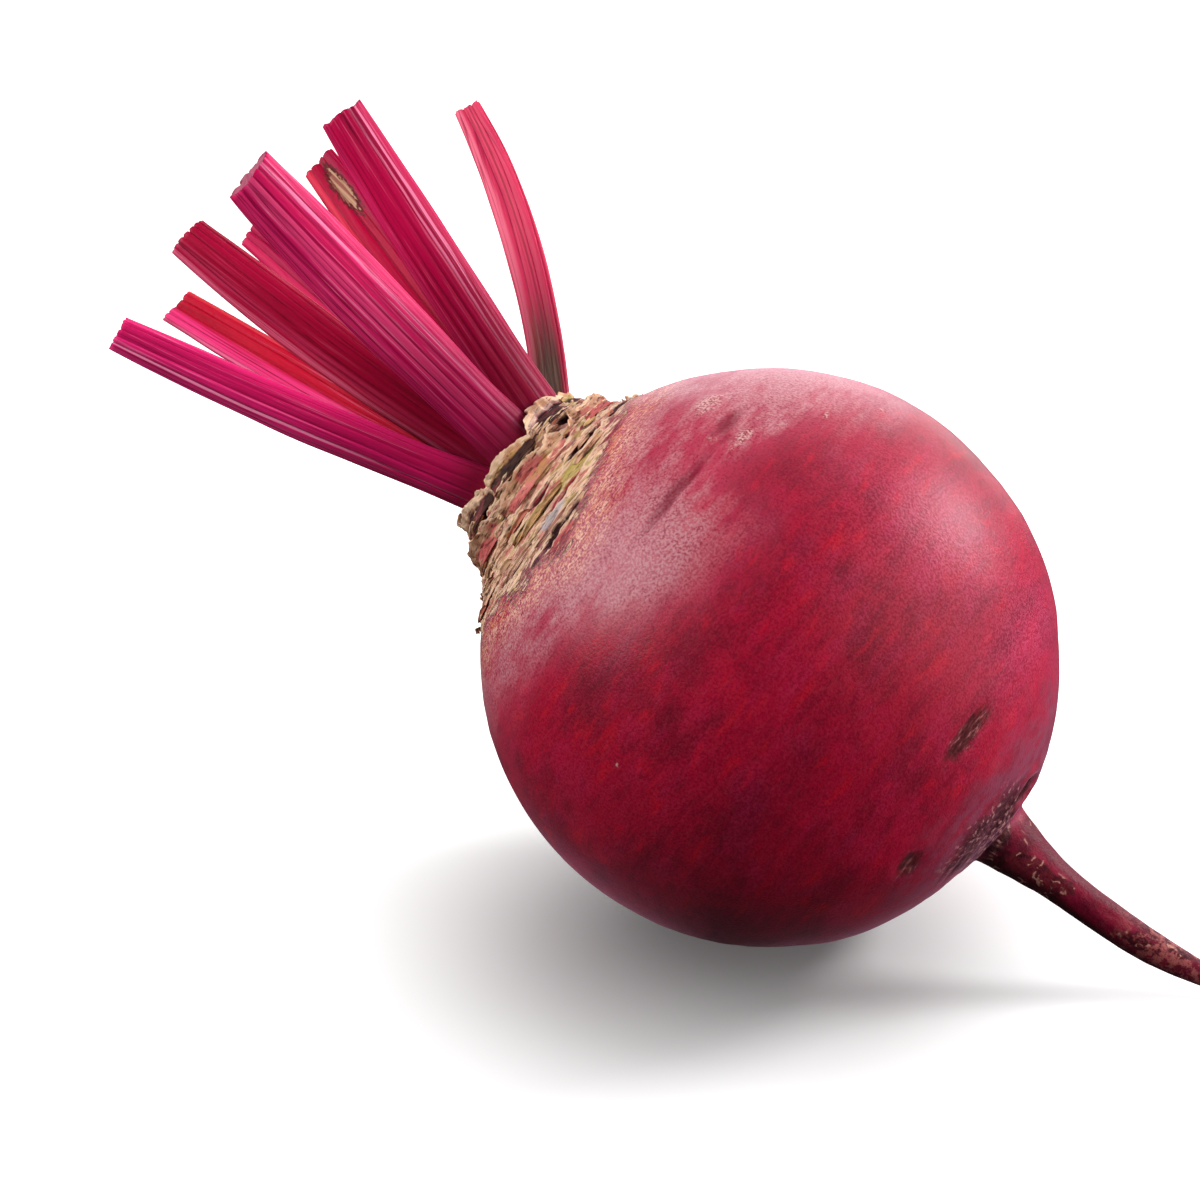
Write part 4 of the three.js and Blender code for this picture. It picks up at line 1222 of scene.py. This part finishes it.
# The inside colour is painted shade on the face towards the neck.
SCALE_GAP, SCALE_INSIDE_SHADE = (0.055, 0.016, 0.010), (0.10, 0.025, 0.02)
# The groove colours are painted shade below the rolled edge.
GROOVE_SHADE_BLACK, GROOVE_SHADE_RED = (0.022, 0.007, 0.008), (0.20, 0.030, 0.040)


def neck_radius(height):
    """Radius of the neck's outline at heights between the bulb's centre and the crown's rim."""
    outline = root_outline()
    kept = outline[(outline[:, 0] > 0) & (outline[:, 0] < 45 * MM)]
    return np.interp(height, *kept.T)


def scale_grids(turn, foot, top, span, lean, thickness, seed, roll, rows=SCALE_ROWS, columns=SCALE_COLUMNS):
    """Withered scales against the neck, one for each entry of the arrays, in millimetres. At q from -1 to 1
    across and v from 0 to 1 up, a scale's height is foot + v (top - foot) (0.5 + 0.5 (1 - q^4)), less what
    is frayed off its edge. It hugs the neck below its middle and leans out above, and its lumpy edge waves
    in and out by about roll / 2."""
    turn, foot, top, span, lean, thickness, seed = (
        np.asarray(part, float).reshape(-1, 1, 1) for part in (turn, foot, top, span, lean, thickness, seed))
    v = np.linspace(0, 1, rows)[:, None]
    angle = np.arange(columns) / columns * 2 * np.pi
    q = np.sign(np.sin(angle)) * np.abs(np.sin(angle)) ** 0.85
    face = np.cos(angle)
    across = np.radians(span) * SCALE_GIRTH * q
    where = stack(across, seed * 3, 0.5 * seed)
    frayed = 0.26 * noise(where, 2.4, 70) + 0.16 * noise(where, 1.0, 71) + 0.07 * noise(where, 0.4, 72) + 0.16
    tall = (top - foot) * (0.5 + 0.5 * (1 - q ** 4)) * (1 - frayed)
    height = foot + v * tall
    middle = foot + tall * 0.45
    crumple = stack(across, v * tall * 1.2, seed * 2.7)
    wave = roll * (0.45 * noise(crumple, 3.4, 73) + 0.28 * noise(crumple, 1.4, 74))
    lumps = 0.5 * noise(crumple + face[:, None] * 0.4, 0.7, 76)
    thin = thickness * (1 - 0.35 * v) * (1 - 0.55 * q ** 2) * (1 + lumps)
    radius = (neck_radius(np.minimum(height, middle) * MM) / MM + 0.15
              + lean * np.clip(height - middle, 0, None) + 0.9 * lean * v ** 3
              + wave * v + face * thin / 2 - 0.35 * q ** 2 * (1 - v))
    turning = np.radians(turn + q * span + 2.5 * v * noise(crumple, 3, 75))
    places = stack(radius * np.cos(turning), radius * np.sin(turning), height) * MM
    fields = {"across": across * MM, "along": v * tall * MM, "tip": v, "face": face, "seed": seed / 10,
              "ruddy": bell(np.degrees(turning), *RUDDY_SIDE)}
    return to_frame(places), fields


def scale_finish(name, settings, redness, shaded=0, pale_edge_from=0.78):
    """Dry tan skin in thin layers that run across, with bleached ragged edges, red left in the lower part
    and dark gaps between the layers. What is `shaded` gets painted shade, nearly black, below its rolled
    edge. Where the pale edge starts low, as on the rim, it is partly a painted highlight. The face
    towards the neck is darkened with painted shade."""
    surface = Surface(name)
    tip = surface.field("tip")
    shift = surface.add("ShaderNodeCombineXYZ", None, {"Z": surface.field("seed")})

    def shifted(across):
        """Places on a scale, moved on from one scale to the next so that no two look alike."""
        places = surface.unrolled(across, 1)
        return surface.add("ShaderNodeVectorMath", {"operation": "ADD"}, {0: places, 1: shift})

    drawn_out = shifted(4)
    layers = surface.noise(drawn_out, 1.1 * MM, 5, 0.7, 0.6)
    shreds = surface.noise(drawn_out, 0.4 * MM, 3, 0.65)
    patch = surface.noise(shifted(1.5), 2.2 * MM, 3, 0.6)
    apart = surface.add("ShaderNodeVectorMath", {"operation": "SCALE"}, {0: shift, "Scale": 37.0})
    kind = surface.noise(apart, 1, 0)
    fine = surface.noise(surface.place(), 0.35 * MM, 3, 0.7)
    ruddy = surface.field("ruddy").stir(patch, 1.2).fade(0.3, 0.5) * tip.fade(0.93, 0.84)
    red = tip.stir(patch, 2.4).fade(0.7, 0.3).larger(ruddy) * redness
    # Where the pale edge starts low, as on the rim, it is partly a painted highlight.
    bleached = tip.stir(shreds, 0.9).fade(pale_edge_from, pale_edge_from + 0.2)
    groove = tip.stir(patch, 0.5).fade(0.58, 0.44) * shaded
    skin = surface.paint(
        settings.dry,
        (layers.fade(0.40, 0.60), settings.dry_edge),
        *((kind.fade(low, high) * 0.7, shade) for low, high, shade in SCALE_KINDS),
        (red, surface.mix(layers, settings.dry_red, SCALE_CRIMSON)),
        (patch.fade(0.56, 0.68) * 0.5, SCALE_OLIVE),
        (shreds.fade(0.46, 0.36) * 0.85, SCALE_GAP),
        (layers.fade(0.43, 0.36) * 0.85, SCALE_GAP),
        (bleached * 0.9, surface.mix(patch.fade(0.42, 0.6), settings.dry_edge, settings.dry)),
        # Painted shade below the rolled edge.
        (groove, surface.mix(layers.fade(0.50, 0.66), GROOVE_SHADE_BLACK, GROOVE_SHADE_RED)),
        # Painted shade on the face towards the neck.
        (surface.field("face").fade(0.1, -0.5) * 0.6, SCALE_INSIDE_SHADE),
    )
    relief = surface.bump(layers * 0.6 + shreds * 0.4, 0.45 * MM)
    return surface.finish(Base_Color=skin, Roughness=0.66 + 0.2 * fine,
                          Normal=surface.bump(fine, 0.08 * MM, relief), Specular_IOR_Level=0.2)


class BEETROOT_OT_leaf_bases(bpy.types.Operator):
    """Build the two rings of withered leaf bases, and the small flakes between them"""
    bl_idname = "beetroot.build_leaf_bases"
    bl_label = "Withered leaf bases"

    def execute(self, context):
        settings = context.scene.beetroot_leaves
        thickness = settings.scale_thickness / MM
        for ring in (RIM_SCALES, NECK_SCALES):
            material = scale_finish(f"{ring['name']}_skin", settings, **ring["finish"])
            for number, (turn, extra) in enumerate(ring["places"], 1):
                places, fields = scale_grids(
                    turn, ring["foot"], ring["top"] + extra, ring["span"], ring["lean"], thickness,
                    number + 10 * ring["finish"]["redness"], ring["roll"])
                name = f"{ring['name']}_{number}"
                mesh = skin_mesh(f"{name}_scale", places, fields, flat=True)
                add_piece(mesh, material, [name])

        chance = np.random.default_rng(12)
        turn = chance.uniform(-180, 180, FLAKE_COUNT)
        lowest = BULB_RADIUS / MM * np.cos(np.radians(np.interp(turn, *CORK_EDGE.T) - 3))
        foot = lowest + (FLAKE_TOP - lowest) * chance.uniform(0, 1, FLAKE_COUNT)
        tall, span, lean, thin = (chance.uniform(*limits, FLAKE_COUNT) for limits in FLAKE_LIMITS)
        places, fields = scale_grids(turn, foot, foot + tall, span, lean, thin, np.arange(FLAKE_COUNT) + 30.0,
                                     0.3, rows=6, columns=20)
        material = scale_finish("crown_flake_skin", settings, 0.25)
        add_piece(skin_mesh("crown_flakes", places, fields, flat=True), material)
        return {"FINISHED"}


# ---- Stage ----

FLOOR_REACH = 6  # metres from the middle to the edges
AIM_LEFT, AIM_UP = 23.21 * MM, 7.74 * MM  # from the bulb's centre to what the camera looks at
WHITE = (1, 1, 1)

# Each light: the way towards it, to the camera's right, up and back; its distance and size in metres;
# the setting of its power; whether it shows as a highlight; and whether it lights the floor.
LIGHTS = {
    "key_light": ((-0.85, 0.40, 0.35), 0.55, 0.30, "key_power", True, False),
    "side_light": ((0.81, 0.57, -0.14), 0.60, 0.20, "side_power", True, True),
    "back_light": ((0.20, 0.62, -0.76), 0.70, 0.60, "back_power", True, True),
    "top_fill": ((0.15, 0.98, 0.0), 0.60, 0.50, "top_power", False, True),
    "right_fill": ((0.98, 0.05, 0.17), 0.60, 0.40, "right_power", False, False),
    "front_fill": ((0.62, 0.30, 0.72), 0.60, 0.40, "front_power", False, False),
}


def stand(name, data, right, up, back, where):
    """Puts a new camera or light in the scene at `where`, looking the way opposite to `back`."""
    item = bpy.data.objects.new(name, data)
    place = np.eye(4)
    place[:3] = np.stack([right, up, back, where], axis=1)
    item.matrix_world = Matrix(place)
    bpy.context.scene.collection.objects.link(item)
    return item


def softbox(name, towards, distance, size, power, shines, skips):
    """A square light that looks at the beetroot from the way `towards`. Without `shines` it is too even to
    show as a highlight. It does not light what it skips."""
    light = bpy.data.lights.new(name, "AREA")
    light.size = size
    light.energy = power
    way = unit(towards)
    side = unit(np.cross([0, 0, 1], way))
    lamp = stand(name, light, side, np.cross(way, side), way, BULB_CENTRE + way * distance)
    lamp.visible_glossy = shines
    if skips:
        lit = bpy.data.collections.new(f"{name}_skips")
        lit.objects.link(skips)
        lit.collection_objects[0].light_linking.link_state = "EXCLUDE"
        lamp.light_linking.receiver_collection = lit


def floor_finish():
    """White, with a painted glow of its own away from the beetroot, where the lights no longer reach.
    Round the beetroot the glow fades to a tenth, a painted shadow there.
    """
    surface = Surface("pale_floor")
    coordinates = surface.add("ShaderNodeTexCoord", output="Object")
    cloudy = surface.noise(coordinates, 0.5, 2)
    away = surface.add("ShaderNodeVectorMath", {"operation": "LENGTH"}, {0: coordinates}, output="Value")
    # Painted glow away from the beetroot, fading to a painted shadow round it.
    bright = surface.mix(away.fade(0.010, 0.080), (0.10, 0.10, 0.10), WHITE)
    return surface.finish(Base_Color=surface.mix(cloudy, (0.86, 0.86, 0.86), (0.88, 0.88, 0.88)),
                          Emission_Color=bright, Emission_Strength=1.0, Roughness=0.7, Specular_IOR_Level=0.2)


class BEETROOT_OT_stage(bpy.types.Operator):
    """Set up the floor, lights and camera"""
    bl_idname = "beetroot.build_stage"
    bl_label = "Stage"

    def execute(self, context):
        settings = context.scene.beetroot_stage
        mesh = bpy.data.meshes.new("floor")
        corners = [(x * FLOOR_REACH, y * FLOOR_REACH, 0) for x, y in ((-1, -1), (1, -1), (1, 1), (-1, 1))]
        mesh.from_pydata(corners, [], [(0, 1, 2, 3)])
        mesh.materials.append(floor_finish())
        floor = bpy.data.objects.new("floor", mesh)
        context.scene.collection.objects.link(floor)
        floor.visible_diffuse = floor.visible_glossy = False

        azimuth, elevation = settings.azimuth, settings.elevation
        right = np.array([math.cos(azimuth), math.sin(azimuth), 0])
        back = np.array([math.sin(azimuth) * math.cos(elevation),
                         -math.cos(azimuth) * math.cos(elevation), math.sin(elevation)])
        up = np.cross(back, right)
        aim = BULB_CENTRE - right * AIM_LEFT + up * AIM_UP
        camera = stand("camera", bpy.data.cameras.new("camera"), right, up, back,
                       aim + back * settings.distance)
        camera.data.lens = settings.lens
        camera.data.clip_start = 10 * MM
        context.scene.camera = camera

        axes = np.stack([right, up, back])
        for name, (way, distance, size, power, shines, on_floor) in LIGHTS.items():
            softbox(name, np.array(way) @ axes, distance, size, getattr(settings, power), shines,
                    None if on_floor else floor)

        world = bpy.data.worlds.new("studio")
        world.use_nodes = True
        background = world.node_tree.nodes["Background"].inputs
        background["Color"].default_value = (*WHITE, 1)
        background["Strength"].default_value = settings.surroundings
        context.scene.world = world
        context.scene.view_settings.view_transform = "Standard"
        return {"FINISHED"}


# ---- Add-on ----

class BEETROOT_PT_panel(bpy.types.Panel):
    """Sizes, colours and building steps of the beetroot"""
    bl_idname = "BEETROOT_PT_panel"
    bl_label = "Beetroot"
    bl_space_type = "VIEW_3D"
    bl_region_type = "UI"
    bl_category = "Beetroot"

    def draw(self, context):
        for name in SETTINGS:
            group = getattr(context.scene, name)
            box = self.layout.box()
            for setting in group.__annotations__:
                box.prop(group, setting)
        for operator in OPERATORS:
            self.layout.operator(operator.bl_idname)


SETTINGS = {
    "beetroot_root": BeetrootRootSettings,
    "beetroot_leaves": BeetrootLeafSettings,
    "beetroot_stage": BeetrootStageSettings,
}
OPERATORS = (
    BEETROOT_OT_root, BEETROOT_OT_stalks, BEETROOT_OT_heart_leaves, BEETROOT_OT_leaf_bases, BEETROOT_OT_stage,
)


def register():
    for kind in (*SETTINGS.values(), *OPERATORS, BEETROOT_PT_panel):
        bpy.utils.register_class(kind)
    for name, group in SETTINGS.items():
        setattr(bpy.types.Scene, name, PointerProperty(type=group))


def unregister():
    for name in SETTINGS:
        delattr(bpy.types.Scene, name)
    for kind in (BEETROOT_PT_panel, *reversed(OPERATORS), *reversed(SETTINGS.values())):
        bpy.utils.unregister_class(kind)


def main():
    register()
    bpy.ops.beetroot.build_root()
    bpy.ops.beetroot.build_stalks()
    bpy.ops.beetroot.build_heart_leaves()
    bpy.ops.beetroot.build_leaf_bases()
    bpy.ops.beetroot.build_stage()


if __name__ == "__main__":
    main()
